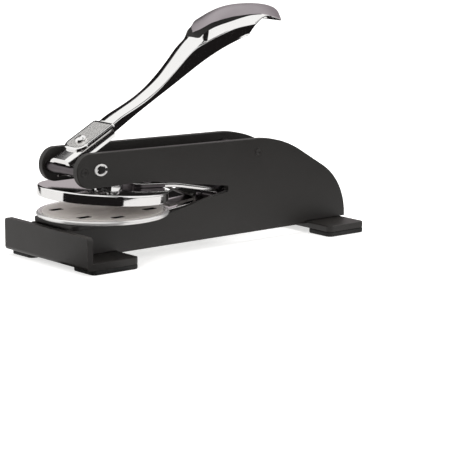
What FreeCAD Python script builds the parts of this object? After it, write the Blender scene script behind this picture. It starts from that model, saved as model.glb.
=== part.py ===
import FreeCAD, Part
import math
import os
import Sketcher

# Seal embosser: a desk press that squeezes a sheet between two round dies.
# Millimetres. X is across (right side positive), Y runs from the front plate to the rear, Z is up.
# The origin lies on the desk, halfway along the frame. Bench places (…_y) count from the front face.

document = FreeCAD.newDocument("SealEmbosser")
sheet = document.addObject("Spreadsheet::Sheet", "size")

DRIVING_SIZES = {
    # frame: two side plates on two cross straps with rubber feet
    "frame_length": 153.2,
    "plate_gap": 22.0,
    "plate_thickness": 3.0,
    "strap_width": 60.0,
    "strap_thickness": 2.8,
    "strap_corner": 2.5,
    "strap_bend": 1.6,
    "front_plate_corner": 1.5,
    "front_plate_height": 13.8,
    "front_strap_depth": 26.4,
    "rear_strap_depth": 20.8,
    "rear_strap_setback": 2.2,
    "foot_height": 2.1,
    "foot_width": 15.2,
    "plate_lap": 1.0,
    "notch_play": 0.2,
    # side plate outline
    "nose_tip_y": 6.7,
    "plate_top": 47.2,
    "shoulder_setback": 37.7,
    "shoulder_fall": 2.7,
    "shoulder_round": 50.0,
    "stern_z": 21.3,
    "stern_round": 27.0,
    "throat_roof": 32.4,
    "roof_bend_y": 43.5,
    "jaw_height": 16.2,
    "jaw_bend_y": 46.0,
    "throat_end_y": 86.0,
    "throat_end_z": 24.6,
    "throat_end_gap": 2.4,
    "throat_round": 8.0,
    "least_flat": 0.44,
    # cross rods and the pivot pin
    "nose_rod_y": 10.4,
    "nose_rod_drop": 0.7,
    "nose_rod_radius": 2.2,
    "rear_rod_y": 102.8,
    "rear_rod_z": 38.8,
    "rear_rod_radius": 3.0,
    "rivet_radius": 1.7,
    "pivot_y": 18.5,
    "pivot_z": 39.9,
    "pivot_radius": 2.0,
    "bush_wall": 0.75,
    "running_clearance": 0.05,
    "press_clearance": 0.02,
    "clip_thickness": 0.7,
    "clip_radius": 2.9,
    "clip_rim": 0.65,
    "clip_lug": 1.1,
    "clip_groove": 0.5,
    "pin_overhang": 1.7,
    # bed and the lower half of the die holder
    "bed_thickness": 1.9,
    "bed_width": 29.2,
    "bed_front_y": 4.5,
    "bed_rear_y": 44.0,
    "bed_corner": 3.0,
    "die_y": 29.4,
    "holder_radius": 28.0,
    "holder_thickness": 2.0,
    "holder_rim_round": 0.9,
    "die_radius": 25.4,
    "die_recess": 1.0,
    "lower_die_thickness": 1.1,
    "slot_ring": 19.5,
    "slot_length": 6.6,
    "slot_width": 2.0,
    "slot_depth": 0.7,
    "arm_width": 16.0,
    "arm_thickness": 1.8,
    "lower_arm_front_y": 22.2,
    "lower_arm_bend_y": 58.5,
    "bed_screw_radius": 1.25,
    "bed_screw_y": 9.5,
    "bed_screw_pitch": 8.0,
    "bed_screw_head": 2.5,
    "bed_screw_head_height": 1.25,
    # hinge of the die holder
    "hinge_y": 88.0,
    "hinge_z": 22.4,
    "hinge_radius": 1.5,
    "knuckle_radius": 3.0,
    "knuckle_width": 7.8,
    "knuckle_play": 0.15,
    "knuckle_relief": 1.0,
    "hinge_pin_overhang": 0.5,
    "open_angle": 4.6,
    # upper half of the die holder
    "cup_radius": 27.6,
    "cup_height": 4.4,
    "cup_wall": 1.6,
    "cup_gap": 0.5,
    "die_gap": 0.2,
    "die_fit": 0.1,
    "boss_y": 31.0,
    "boss_step_radius": 7.0,
    "boss_step_height": 1.2,
    "boss_radius": 6.0,
    "upper_arm_front_y": 41.0,
    "upper_arm_bend_y": 62.0,
    "arm_rivet_radius": 1.3,
    "arm_rivet_head": 2.2,
    "arm_rivet_rise": 0.75,
    "arm_rivet_dome": 0.55,
    "arm_rivet_setback": 3.5,
    "arm_rivet_pitch": 7.5,
    # lever channel; places count from the pivot
    "channel_width": 15.6,
    "channel_wall": 1.5,
    "channel_round": 4.4,
    "channel_front": 10.6,
    "channel_depth": 2.4,
    "web_front_z": 3.8,
    "web_slope": 28.0,
    "stop_gap": 0.3,
    "presser_y": 12.5,
    "presser_drop": 4.7,
    "presser_radius": 2.6,
    "presser_neck": 1.6,
    "presser_gap": 0.35,
    "lobe_radius": 2.3,
    "lobe_round": 2.2,
    "cheek_margin": 1.7,
    "cheek_round": 2.5,
    # handle casting; places count from the pivot
    "collar_width": 14.4,
    "collar_front": 4.9,
    "collar_rear": 13.0,
    "collar_thickness": 1.4,
    "collar_front_round": 4.5,
    "collar_rear_round": 1.5,
    "handle_wall": 1.6,
    "wall_end_back": 2.2,
    "wall_end_ahead": 0.9,
    "wall_end_drop": 9.1,
    "hook_start": 8.0,
    "hook_drop": 5.8,
    "hook_round": 4.0,
    "handle_screw_y": 0.7,
    "handle_screw_radius": 1.4,
    "handle_screw_head": 2.5,
    "screw_head_height": 1.6,
    "screw_head_dome": 1.3,
    # springs
    "spring_gap": 0.3,
    "return_wire": 0.9,
    "return_turns": 4.25,
    "return_pitch": 1.3,
    "return_leg": 9.6,
    "leaf_thickness": 0.6,
    "leaf_width": 7.0,
    "leaf_front_y": 62.0,
    "leaf_rear_y": 78.0,
}

# Handle stations from the collar's rear edge to the tip: the step back and up from the place before,
# the depth of the crown above the side edges, the depth of the whole section and half its width.
HANDLE_STATIONS = {
    "root": (-0.5, -0.15, 1.1, 5.3, 5.2),
    "waist": (13.0, 6.6, 1.4, 4.3, 5.1),
    "bend": (12.0, 6.9, 1.6, 4.7, 5.0),
    "rise": (11.0, 9.4, 2.0, 7.9, 5.4),
    "swell": (11.0, 11.2, 3.8, 12.2, 7.0),
    "back": (11.0, 7.8, 5.0, 14.3, 8.6),
    "palm": (15.0, 2.7, 5.4, 12.1, 9.2),
    "curl": (13.0, -1.0, 4.6, 9.0, 8.2),
    "tip": (7.0, -2.7, 2.2, 5.2, 4.2),
}
STATION_SIZES = ("step", "climb", "crown", "depth", "reach")
for station, numbers in HANDLE_STATIONS.items():
    for name, value in zip(STATION_SIZES, numbers):
        DRIVING_SIZES[f"{station}_{name}"] = value

for row, (alias, value) in enumerate(DRIVING_SIZES.items(), start=1):
    sheet.set(f"A{row}", alias)
    sheet.set(f"B{row}", str(value))
    sheet.setAlias(f"B{row}", alias)
document.recompute()

# Levels and places that follow from the driving sizes.
THROUGH = "(2 * size.frame_length)"
STRAP_TOP = "(size.foot_height + size.strap_thickness)"
FRONT_PLATE_TOP = "(size.foot_height + size.front_plate_height)"
PLATE_BOTTOM = f"({STRAP_TOP} - size.plate_lap)"
REAR_STRAP_END = "(size.frame_length - size.rear_strap_setback)"
REAR_STRAP_FRONT = f"({REAR_STRAP_END} - size.rear_strap_depth)"
NOSE_ROUND = "((size.plate_top - size.throat_roof - size.least_flat) / 2)"
SHOULDER_Y = "(size.frame_length - size.shoulder_setback)"
SHOULDER_Z = "(size.plate_top - size.shoulder_fall)"
STERN_SLOPE = f"atan(({SHOULDER_Z} - size.stern_z) / size.shoulder_setback)"
STERN_WALL = f"(size.stern_z - {STRAP_TOP} - size.least_flat)"
STERN_ROUND = f"min(size.stern_round; {STERN_WALL} * tan(45 deg + {STERN_SLOPE} / 2))"
PLATE_SPAN = "(size.plate_gap + 2 * size.plate_thickness)"
NOSE_ROD_Z = "(size.pivot_z - size.nose_rod_drop)"
BED_TOP = "(size.jaw_height + size.bed_thickness)"
HOLDER_TOP = f"({BED_TOP} + size.holder_thickness)"
LOWER_DIE_TOP = f"({HOLDER_TOP} - size.die_recess + size.lower_die_thickness)"
CUP_BOTTOM = f"({HOLDER_TOP} + size.cup_gap - size.hinge_z)"
CUP_TOP = f"({CUP_BOTTOM} + size.cup_height)"
ARM_TOP = f"({CUP_TOP} + size.arm_thickness)"
DIE_FROM_HINGE = "(size.die_y - size.hinge_y)"
BOSS_FROM_HINGE = "(size.boss_y - size.hinge_y)"
PRESSER_FROM_HINGE = "(size.pivot_y + size.presser_y - size.hinge_y)"
PRESSER_HEIGHT = "(size.pivot_z - size.presser_drop - size.hinge_z)"
# The boss meets the presser at rest: the presser's centre is turned back into the closed position.
BOSS_TOP = (
    f"({PRESSER_HEIGHT} * cos(size.open_angle) + {PRESSER_FROM_HINGE} * sin(size.open_angle)"
    " - size.presser_radius - size.presser_gap)"
)
BUSH_RADIUS = "(size.pivot_radius + size.running_clearance + size.bush_wall)"
CHANNEL_REAR = "(size.collar_rear + size.root_step - size.stop_gap)"
CHANNEL_INNER = "(size.channel_width - 2 * size.channel_wall)"
CHEEK_BOTTOM = "(size.nose_rod_radius + size.stop_gap - size.nose_rod_drop)"


def number(expression):
    """The present value of an expression on the sheet."""
    return float(sheet.evalExpression(expression))


def web_top(across):
    """Height of the channel's top face at a place along the lever."""
    return f"(size.web_front_z + (({across}) + size.channel_front) * tan(size.web_slope))"


def web_under(across):
    """Height of the web's underside at a place along the lever."""
    return f"({web_top(across)} - size.channel_wall / cos(size.web_slope))"


BENCH = {"y": "-size.frame_length / 2"}
PIVOT = {"y": "size.pivot_y - size.frame_length / 2", "z": "size.pivot_z"}
HINGE = {"y": "size.hinge_y - size.frame_length / 2", "z": "size.hinge_z", "turn": "-size.open_angle"}


def place(item, frame):
    """Set an object in one of the three frames: bench, lever pivot or die-holder hinge."""
    if "turn" in frame:
        item.Placement = FreeCAD.Placement(FreeCAD.Vector(), FreeCAD.Rotation(FreeCAD.Vector(1, 0, 0), 1))
        item.setExpression("Placement.Rotation.Angle", frame["turn"])
    for axis in ("y", "z"):
        if axis in frame:
            item.setExpression(f"Placement.Base.{axis}", frame[axis])


parts = []


def new_part(node, frame):
    body = document.addObject("PartDesign::Body", node)
    body.Label = node
    place(body, frame)
    parts.append(body)
    return body


def new_sketch(body, plane, lift="0"):
    """A sketch on one of the body's own origin planes, lifted along the plane's normal."""
    sketch = body.newObject("Sketcher::SketchObject", f"{body.Name}_sketch")
    support = next(feature for feature in body.Origin.OriginFeatures if feature.Role == plane)
    sketch.AttachmentSupport = [(support, "")]
    sketch.MapMode = "FlatFace"
    sketch.setExpression("AttachmentOffset.Base.z", lift)
    return sketch


def sloping_sketch(body, place_y, place_z, slope):
    """A sketch that starts level and is tilted up towards the rear by the slope."""
    sketch = new_sketch(body, "XY_Plane", place_z)
    tilt = FreeCAD.Rotation(FreeCAD.Vector(1, 0, 0), 1)
    sketch.AttachmentOffset = FreeCAD.Placement(FreeCAD.Vector(), tilt)
    sketch.setExpression("AttachmentOffset.Base.y", place_y)
    sketch.setExpression("AttachmentOffset.Base.z", place_z)
    sketch.setExpression("AttachmentOffset.Rotation.Angle", slope)
    return sketch


def constrain(sketch, bound, free=()):
    """Add constraints; each bound one takes its value from an expression."""
    first = sketch.ConstraintCount
    sketch.addConstraint([constraint for constraint, _ in bound] + list(free))
    for index, (_, expression) in enumerate(bound):
        sketch.setExpression(f"Constraints[{first + index}]", expression)


def located(geometry, vertex, across, up):
    """Constraints that hold a vertex at a place measured from the sketch's origin."""
    return [
        (Sketcher.Constraint("DistanceX", -1, 1, geometry, vertex, number(across)), across),
        (Sketcher.Constraint("DistanceY", -1, 1, geometry, vertex, number(up)), up),
    ]


def circle(sketch, across, up, radius):
    centre = FreeCAD.Vector(number(across), number(up), 0)
    ring = sketch.addGeometry(Part.Circle(centre, FreeCAD.Vector(0, 0, 1), number(radius)))
    bound = located(ring, 3, across, up)
    bound.append((Sketcher.Constraint("Radius", ring, number(radius)), radius))
    constrain(sketch, bound)


def outline(sketch, corners):
    """A closed outline through corners (across, up[, round]) with tangent arcs at the round ones."""
    points = [FreeCAD.Vector(number(corner[0]), number(corner[1]), 0) for corner in corners]
    count = len(points)
    marks = [sketch.addGeometry(Part.Point(point), True) for point in points]
    bound = []
    free = []
    arcs = []
    ends = []
    for index, point in enumerate(points):
        bound += located(marks[index], 1, corners[index][0], corners[index][1])
        if len(corners[index]) < 3:
            arcs.append(None)
            ends.append((point, point))
            continue
        radius = number(corners[index][2])
        back = (points[index - 1] - point).normalize()
        ahead = (points[(index + 1) % count] - point).normalize()
        half_angle = back.getAngle(ahead) / 2
        reach = radius / math.tan(half_angle)
        centre = point + (back + ahead).normalize() * (radius / math.sin(half_angle))
        first = point + back * reach
        last = point + ahead * reach
        turns_left = (first - centre).cross(last - centre).z > 0
        start, stop = (first, last) if turns_left else (last, first)
        angles = [math.atan2(end.y - centre.y, end.x - centre.x) for end in (start, stop)]
        rim = Part.Circle(centre, FreeCAD.Vector(0, 0, 1), radius)
        arc = sketch.addGeometry(Part.ArcOfCircle(rim, angles[0], angles[1]))
        arcs.append((arc, 1, 2) if turns_left else (arc, 2, 1))
        ends.append((first, last))
        bound.append((Sketcher.Constraint("Radius", arc, radius), corners[index][2]))
    for index in range(count):
        after = (index + 1) % count
        side = sketch.addGeometry(Part.LineSegment(ends[index][1], ends[after][0]))
        for corner, line_end in ((index, 1), (after, 2)):
            if arcs[corner] is None:
                free.append(Sketcher.Constraint("Coincident", side, line_end, marks[corner], 1))
                continue
            arc, arriving, leaving = arcs[corner]
            arc_end = leaving if line_end == 1 else arriving
            free.append(Sketcher.Constraint("PointOnObject", marks[corner], 1, side))
            free.append(Sketcher.Constraint("Tangent", side, line_end, arc, arc_end))
    constrain(sketch, bound, free)


def rectangle(sketch, left, bottom, right, top, corner=None):
    places = [(left, bottom), (right, bottom), (right, top), (left, top)]
    outline(sketch, [place_ + ((corner,) if corner else ()) for place_ in places])


def turned_rectangle(sketch, across, up, turn, inner, outer, width):
    """A rectangle that reaches from inner to outer away from a centre, turned about it."""
    corners = []
    for reach, side in ((inner, "-"), (outer, "-"), (outer, ""), (inner, "")):
        aside = f"({side}({width}) / 2)"
        corners.append((
            f"({across} + ({reach}) * cos({turn} deg) - {aside} * sin({turn} deg))",
            f"({up} + ({reach}) * sin({turn} deg) + {aside} * cos({turn} deg))",
        ))
    outline(sketch, corners)


def extrude(body, kind, sketch, length, both=False, reverse=False):
    feature = body.newObject(kind, f"{body.Name}_{kind.split('::')[1].lower()}")
    feature.Profile = sketch
    feature.setExpression("Length", length)
    feature.SideType = "Symmetric" if both else "One side"
    feature.Reversed = reverse
    sketch.Visibility = False
    return feature


def pad(body, sketch, length, both=False):
    return extrude(body, "PartDesign::Pad", sketch, length, both)


def cut(body, sketch, length, both=False, reverse=False):
    """A pocket; with reverse it cuts along the sketch's normal instead of against it."""
    return extrude(body, "PartDesign::Pocket", sketch, length, both, reverse)


def edges_where(body, test):
    """Names of the body's present edges whose two ends and middle pass a test."""
    document.recompute()
    names = []
    for index, edge in enumerate(body.Shape.Edges, start=1):
        samples = [edge.valueAt(edge.FirstParameter + share * (edge.LastParameter - edge.FirstParameter))
                   for share in (0, 0.5, 1)]
        local = [body.Placement.inverse().multVec(sample) for sample in samples]
        if all(test(point) for point in local):
            names.append(f"Edge{index}")
    return names


def fillet(body, radius, test):
    names = edges_where(body, test)
    feature = body.newObject("PartDesign::Fillet", f"{body.Name}_fillet")
    feature.Base = (feature.BaseFeature or body.Group[-2], names)
    feature.setExpression("Radius", radius)
    return feature


def near(value, expression):
    return abs(value - number(expression)) < 0.01


def cylinder(node, frame, plane, across, up, radius, length, lift="0", both=False):
    body = new_part(node, frame)
    sketch = new_sketch(body, plane, lift)
    circle(sketch, across, up, radius)
    pad(body, sketch, length, both)
    return body


def add_cylinder(body, plane, across, up, radius, length, lift="0", both=False):
    sketch = new_sketch(body, plane, lift)
    circle(sketch, across, up, radius)
    return pad(body, sketch, length, both)


def drill(body, plane, across, up, radius, length, lift="0", both=False, reverse=False):
    sketch = new_sketch(body, plane, lift)
    circle(sketch, across, up, radius)
    return cut(body, sketch, length, both, reverse)


# ---------------------------------------------------------------- frame
# Side plates: flat steel with a long throat; they stand on the two straps and hold the rods.
for side, inner_face in (("left", f"-{PLATE_SPAN} / 2"), ("right", "size.plate_gap / 2")):
    plate = new_part(f"side_plate_{side}", BENCH)
    profile = new_sketch(plate, "YZ_Plane", inner_face)
    outline(profile, [
        ("size.strap_thickness", STRAP_TOP),
        ("size.front_strap_depth + size.notch_play", STRAP_TOP),
        ("size.front_strap_depth + size.notch_play", PLATE_BOTTOM),
        (f"{REAR_STRAP_FRONT} - size.notch_play", PLATE_BOTTOM),
        (f"{REAR_STRAP_FRONT} - size.notch_play", STRAP_TOP),
        ("size.frame_length", STRAP_TOP),
        ("size.frame_length", "size.stern_z", STERN_ROUND),
        (SHOULDER_Y, SHOULDER_Z, "size.shoulder_round"),
        ("size.nose_tip_y", "size.plate_top", NOSE_ROUND),
        ("size.nose_tip_y", "size.throat_roof", NOSE_ROUND),
        ("size.roof_bend_y", "size.throat_roof", "size.throat_round"),
        ("size.throat_end_y", "size.throat_end_z + size.throat_end_gap / 2", "size.throat_end_gap / 3"),
        ("size.throat_end_y", "size.throat_end_z - size.throat_end_gap / 2", "size.throat_end_gap / 3"),
        ("size.jaw_bend_y", "size.jaw_height", "size.throat_round"),
        ("size.strap_thickness", "size.jaw_height"),
    ])
    pad(plate, profile, "size.plate_thickness")
    holes = (
        ("size.nose_rod_y", NOSE_ROD_Z, "size.rivet_radius + size.press_clearance"),
        ("size.rear_rod_y", "size.rear_rod_z", "size.rivet_radius + size.press_clearance"),
        ("size.pivot_y", "size.pivot_z", "size.pivot_radius + size.press_clearance"),
    )
    for hole_y, hole_z, hole_radius in holes:
        drill(plate, "YZ_Plane", hole_y, hole_z, hole_radius, f"2 * {PLATE_SPAN}", both=True)

# Front bracket: one bent strap, its upright is the front plate and its flange the front foot bar.
bracket = new_part("front_bracket", BENCH)
profile = new_sketch(bracket, "YZ_Plane")
outline(profile, [
    ("0", "size.foot_height", "size.strap_bend"),
    ("size.front_strap_depth", "size.foot_height"),
    ("size.front_strap_depth", STRAP_TOP),
    ("size.strap_thickness", STRAP_TOP),
    ("size.strap_thickness", FRONT_PLATE_TOP),
    ("0", FRONT_PLATE_TOP),
])
pad(bracket, profile, "size.strap_width", both=True)
fillet(bracket, "size.strap_corner", lambda point: near(point.y, "size.front_strap_depth")
       and near(abs(point.x), "size.strap_width / 2"))
fillet(bracket, "size.front_plate_corner", lambda point: near(point.z, FRONT_PLATE_TOP)
       and near(abs(point.x), "size.strap_width / 2"))

# Rear strap: a flat bar under the plates' rear end.
strap = new_part("rear_strap", BENCH)
profile = new_sketch(strap, "XY_Plane", "size.foot_height")
rectangle(profile, "-size.strap_width / 2", REAR_STRAP_FRONT, "size.strap_width / 2", REAR_STRAP_END,
          "size.strap_corner")
pad(strap, profile, "size.strap_thickness")

# Rubber feet: four moulded pads glued under the ends of the straps.
FOOT_ROWS = {
    "front": ("size.strap_thickness", "size.front_strap_depth"),
    "rear": (REAR_STRAP_FRONT, REAR_STRAP_END),
}
FOOT_SIDES = {
    "left": ("-size.strap_width / 2", "size.foot_width - size.strap_width / 2"),
    "right": ("size.strap_width / 2 - size.foot_width", "size.strap_width / 2"),
}
for row_name, (near_end, far_end) in FOOT_ROWS.items():
    for side, (left_edge, right_edge) in FOOT_SIDES.items():
        foot = new_part(f"rubber_foot_{row_name}_{side}", BENCH)
        profile = new_sketch(foot, "XY_Plane")
        rectangle(profile, left_edge, near_end, right_edge, far_end, "size.strap_corner")
        pad(foot, profile, "size.foot_height")

# Cross rods: shouldered spacers between the plates, riveted flush in their holes.
for rod_name, rod_z in (("nose_rod", NOSE_ROD_Z), ("rear_rod", "size.rear_rod_z")):
    rod_y = f"size.{rod_name}_y"
    rod = cylinder(rod_name, BENCH, "YZ_Plane", rod_y, rod_z, f"size.{rod_name}_radius", "size.plate_gap",
                   both=True)
    add_cylinder(rod, "YZ_Plane", rod_y, rod_z, "size.rivet_radius", PLATE_SPAN, both=True)

# Pivot pin: plain shaft through both plates with a groove outside each plate for its retaining clip.
PIN_LENGTH = f"({PLATE_SPAN} + 2 * size.pin_overhang)"
CLIP_FACE = f"({PLATE_SPAN} / 2 + size.running_clearance)"
GROOVE_RADIUS = "(size.pivot_radius - size.clip_groove)"
pin = cylinder("pivot_pin", BENCH, "YZ_Plane", "size.pivot_y", "size.pivot_z", "size.pivot_radius",
               PIN_LENGTH, both=True)
for lift in (CLIP_FACE, f"-{CLIP_FACE} - size.clip_thickness - size.press_clearance"):
    groove = new_sketch(pin, "YZ_Plane", lift)
    circle(groove, "size.pivot_y", "size.pivot_z", "2 * size.pivot_radius")
    circle(groove, "size.pivot_y", "size.pivot_z", GROOVE_RADIUS)
    cut(pin, groove, "size.clip_thickness + size.press_clearance", reverse=True)

# Retaining clips: stamped spring-steel rings, open towards the rear, snapped into the grooves with
# three lugs.
LUG_TURNS = (70, 180, 290)
for side, lift in (("left", f"-{CLIP_FACE} - size.clip_thickness"), ("right", CLIP_FACE)):
    clip = cylinder(f"pivot_clip_{side}", BENCH, "YZ_Plane", "size.pivot_y", "size.pivot_z",
                    "size.clip_radius", "size.clip_thickness", lift)
    drill(clip, "YZ_Plane", "size.pivot_y", "size.pivot_z", "size.clip_radius - size.clip_rim",
          "4 * size.plate_gap", both=True)
    for turn in LUG_TURNS:
        lug = new_sketch(clip, "YZ_Plane", lift)
        turned_rectangle(lug, "size.pivot_y", "size.pivot_z", turn, f"{GROOVE_RADIUS} * 0.9",
                         "size.clip_radius - size.clip_rim / 2", "size.clip_lug")
        pad(clip, lug, "size.clip_thickness")
    drill(clip, "YZ_Plane", "size.pivot_y", "size.pivot_z", f"{GROOVE_RADIUS} + size.press_clearance",
          "4 * size.plate_gap", both=True)
    mouth = new_sketch(clip, "YZ_Plane")
    rectangle(mouth, "size.pivot_y", f"size.pivot_z - {GROOVE_RADIUS}",
              "size.pivot_y + 2 * size.clip_radius", f"size.pivot_z + {GROOVE_RADIUS}")
    cut(clip, mouth, "4 * size.plate_gap", both=True)

# Bed: black plate on the lower jaws, slotted from behind for the holder's lower arm.
ARM_SLOT = "(size.arm_width / 2 + size.notch_play)"
bed = new_part("bed_plate", BENCH)
profile = new_sketch(bed, "XY_Plane", "size.jaw_height")
outline(profile, [
    ("-size.bed_width / 2", "size.bed_front_y", "size.bed_corner"),
    ("size.bed_width / 2", "size.bed_front_y", "size.bed_corner"),
    ("size.bed_width / 2", "size.bed_rear_y"),
    (ARM_SLOT, "size.bed_rear_y"),
    (ARM_SLOT, "size.lower_arm_front_y - size.notch_play"),
    (f"-{ARM_SLOT}", "size.lower_arm_front_y - size.notch_play"),
    (f"-{ARM_SLOT}", "size.bed_rear_y"),
    ("-size.bed_width / 2", "size.bed_rear_y"),
])
pad(bed, profile, "size.bed_thickness")
SCREW_PLACES = ("size.bed_screw_y", "size.bed_screw_y + size.bed_screw_pitch")
for screw_y in SCREW_PLACES:
    drill(bed, "XY_Plane", "0", screw_y, "size.bed_screw_radius + size.running_clearance", THROUGH,
          both=True)

# Bed screws: two pan heads from below, through the bed into the lower holder.
screws = new_part("bed_screws", BENCH)
for screw_y in SCREW_PLACES:
    add_cylinder(screws, "XY_Plane", "0", screw_y, "size.bed_screw_radius",
                 "size.bed_thickness + size.holder_thickness - size.die_recess", "size.jaw_height")
    add_cylinder(screws, "XY_Plane", "0", screw_y, "size.bed_screw_head", "size.bed_screw_head_height",
                 "size.jaw_height - size.bed_screw_head_height")

# ---------------------------------------------------------------- lower half of the die holder
# Lower holder: round chromed tray with a raised rim, clamped on the bed.
tray = cylinder("lower_holder", BENCH, "XY_Plane", "0", "size.die_y", "size.holder_radius",
                "size.holder_thickness", BED_TOP)
drill(tray, "XY_Plane", "0", "size.die_y", "size.die_radius + size.die_fit", "size.die_recess", HOLDER_TOP)
for screw_y in SCREW_PLACES:
    drill(tray, "XY_Plane", "0", screw_y, "size.bed_screw_radius + size.press_clearance", THROUGH,
          both=True)
fillet(tray, "size.holder_rim_round", lambda point: near(point.z, HOLDER_TOP)
       and near(math.hypot(point.x, point.y - number("size.die_y")), "size.holder_radius"))

# Lower die: steel disc in the tray, with a ring of keying slots near its edge.
die = cylinder("lower_die", BENCH, "XY_Plane", "0", "size.die_y", "size.die_radius",
               "size.lower_die_thickness", f"{HOLDER_TOP} - size.die_recess")
SLOT_TURNS = (-127, -59, -17, 53, 121, 163)


for turn in SLOT_TURNS:
    slot = new_sketch(die, "XY_Plane", LOWER_DIE_TOP)
    inner_edge, outer_edge = "size.slot_ring - size.slot_width / 2", "size.slot_ring + size.slot_width / 2"
    turned_rectangle(slot, "0", "size.die_y", turn, inner_edge, outer_edge, "size.slot_length")
    cut(die, slot, "size.slot_depth")

# Lower arm: spring-steel strip from the bed's slot back to the hinge, rolled into two knuckles.
ARM_LOW = "size.jaw_height"
ARM_HIGH = "(size.jaw_height + size.arm_thickness)"
KNUCKLE_LOW = "(size.hinge_z - size.knuckle_radius + size.knuckle_play)"
lower_arm = new_part("lower_arm", BENCH)
profile = new_sketch(lower_arm, "YZ_Plane")
outline(profile, [
    ("size.lower_arm_front_y", ARM_LOW),
    ("size.lower_arm_bend_y", ARM_LOW, "size.throat_round"),
    ("size.hinge_y", KNUCKLE_LOW),
    ("size.hinge_y", f"{KNUCKLE_LOW} + size.arm_thickness"),
    ("size.lower_arm_bend_y", ARM_HIGH, "size.throat_round"),
    ("size.lower_arm_front_y", ARM_HIGH),
])
pad(lower_arm, profile, "size.arm_width", both=True)
add_cylinder(lower_arm, "YZ_Plane", "size.hinge_y", "size.hinge_z", "size.knuckle_radius", "size.arm_width",
             both=True)
gap = new_sketch(lower_arm, "YZ_Plane")
rectangle(gap, "size.hinge_y - size.knuckle_radius - size.knuckle_relief",
          "size.hinge_z - 2 * size.knuckle_radius", "size.hinge_y + 2 * size.knuckle_radius",
          "size.hinge_z + 2 * size.knuckle_radius")
cut(lower_arm, gap, "size.knuckle_width + 2 * size.knuckle_play", both=True)
drill(lower_arm, "YZ_Plane", "size.hinge_y", "size.hinge_z", "size.hinge_radius + size.press_clearance",
      "2 * size.arm_width", both=True)

# Hinge pin: plain pin, staked in the lower arm's knuckles.
cylinder("holder_hinge_pin", BENCH, "YZ_Plane", "size.hinge_y", "size.hinge_z", "size.hinge_radius",
         "size.arm_width + 2 * size.hinge_pin_overhang", both=True)

# ---------------------------------------------------------------- upper half of the die holder
# It is drawn closed, about the hinge axis, and swung open by the open angle.
# Upper cup: turned and chromed cover with a skirt round the upper die.
cup = cylinder("upper_cup", HINGE, "XY_Plane", "0", DIE_FROM_HINGE, "size.cup_radius", "size.cup_height",
               CUP_BOTTOM)
drill(cup, "XY_Plane", "0", DIE_FROM_HINGE, "size.cup_radius - size.cup_wall",
      "size.cup_height - size.cup_wall", CUP_BOTTOM, reverse=True)
fillet(cup, "size.cup_wall / 2", lambda point: near(point.z, CUP_TOP))

# Upper die: moulded counter die that fills the cup and stands just below its skirt.
UPPER_DIE_BOTTOM = f"({LOWER_DIE_TOP} + size.die_gap - size.hinge_z)"
cylinder("upper_die", HINGE, "XY_Plane", "0", DIE_FROM_HINGE,
         "size.cup_radius - size.cup_wall - size.die_fit",
         f"{CUP_TOP} - size.cup_wall - {UPPER_DIE_BOTTOM}", UPPER_DIE_BOTTOM)

# Pressure boss: stepped button on the cup, under the lever's presser pin.
boss = cylinder("pressure_boss", HINGE, "XY_Plane", "0", BOSS_FROM_HINGE, "size.boss_step_radius",
                "size.boss_step_height", CUP_TOP)
add_cylinder(boss, "XY_Plane", "0", BOSS_FROM_HINGE, "size.boss_radius", f"{BOSS_TOP} - {CUP_TOP}", CUP_TOP)

# Upper arm: spring-steel strip from the cup back to the hinge, rolled into the middle knuckle.
ARM_FRONT = "(size.upper_arm_front_y - size.hinge_y)"
ARM_BEND = "(size.upper_arm_bend_y - size.hinge_y)"
upper_arm = new_part("upper_arm", HINGE)
profile = new_sketch(upper_arm, "YZ_Plane")
outline(profile, [
    (ARM_FRONT, CUP_TOP),
    (ARM_BEND, CUP_TOP, "2 * size.throat_round"),
    ("0", "-size.arm_thickness / 2"),
    ("0", "size.arm_thickness / 2"),
    (ARM_BEND, ARM_TOP, "2 * size.throat_round"),
    (ARM_FRONT, ARM_TOP),
])
pad(upper_arm, profile, "size.arm_width", both=True)
for mirror in ("", "-"):
    notch = new_sketch(upper_arm, "XY_Plane")
    inner_edge = f"{mirror}size.knuckle_width / 2"
    outer_edge = f"{mirror}size.arm_width"
    low_edge, high_edge = (inner_edge, outer_edge) if mirror == "" else (outer_edge, inner_edge)
    rectangle(notch, low_edge, "-size.knuckle_radius - size.knuckle_relief", high_edge,
              "2 * size.knuckle_radius")
    cut(upper_arm, notch, "8 * size.knuckle_radius", both=True)
add_cylinder(upper_arm, "YZ_Plane", "0", "0", "size.knuckle_radius", "size.knuckle_width", both=True)
drill(upper_arm, "YZ_Plane", "0", "0", "size.hinge_radius + size.running_clearance", "2 * size.arm_width",
      both=True)
fillet(upper_arm, "size.arm_width / 4", lambda point: near(point.y, ARM_FRONT)
       and near(abs(point.x), "size.arm_width / 2"))

# Arm rivets: two round heads that hold the upper arm to the cup.
RIVET_PLACES = (
    f"({ARM_FRONT} + size.arm_rivet_setback)",
    f"({ARM_FRONT} + size.arm_rivet_setback + size.arm_rivet_pitch)",
)
for rivet_y in RIVET_PLACES:
    for drilled in (upper_arm, cup):
        drill(drilled, "XY_Plane", "0", rivet_y, "size.arm_rivet_radius + size.press_clearance",
              "2 * size.cup_wall + 2 * size.arm_thickness", CUP_TOP, both=True)
rivets = new_part("arm_rivets", HINGE)
for rivet_y in RIVET_PLACES:
    add_cylinder(rivets, "XY_Plane", "0", rivet_y, "size.arm_rivet_radius",
                 "size.cup_wall + size.arm_thickness", f"{CUP_TOP} - size.cup_wall")
    add_cylinder(rivets, "XY_Plane", "0", rivet_y, "size.arm_rivet_head", "size.arm_rivet_rise", ARM_TOP)
fillet(rivets, "size.arm_rivet_dome", lambda point: near(point.z, f"{ARM_TOP} + size.arm_rivet_rise"))

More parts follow.
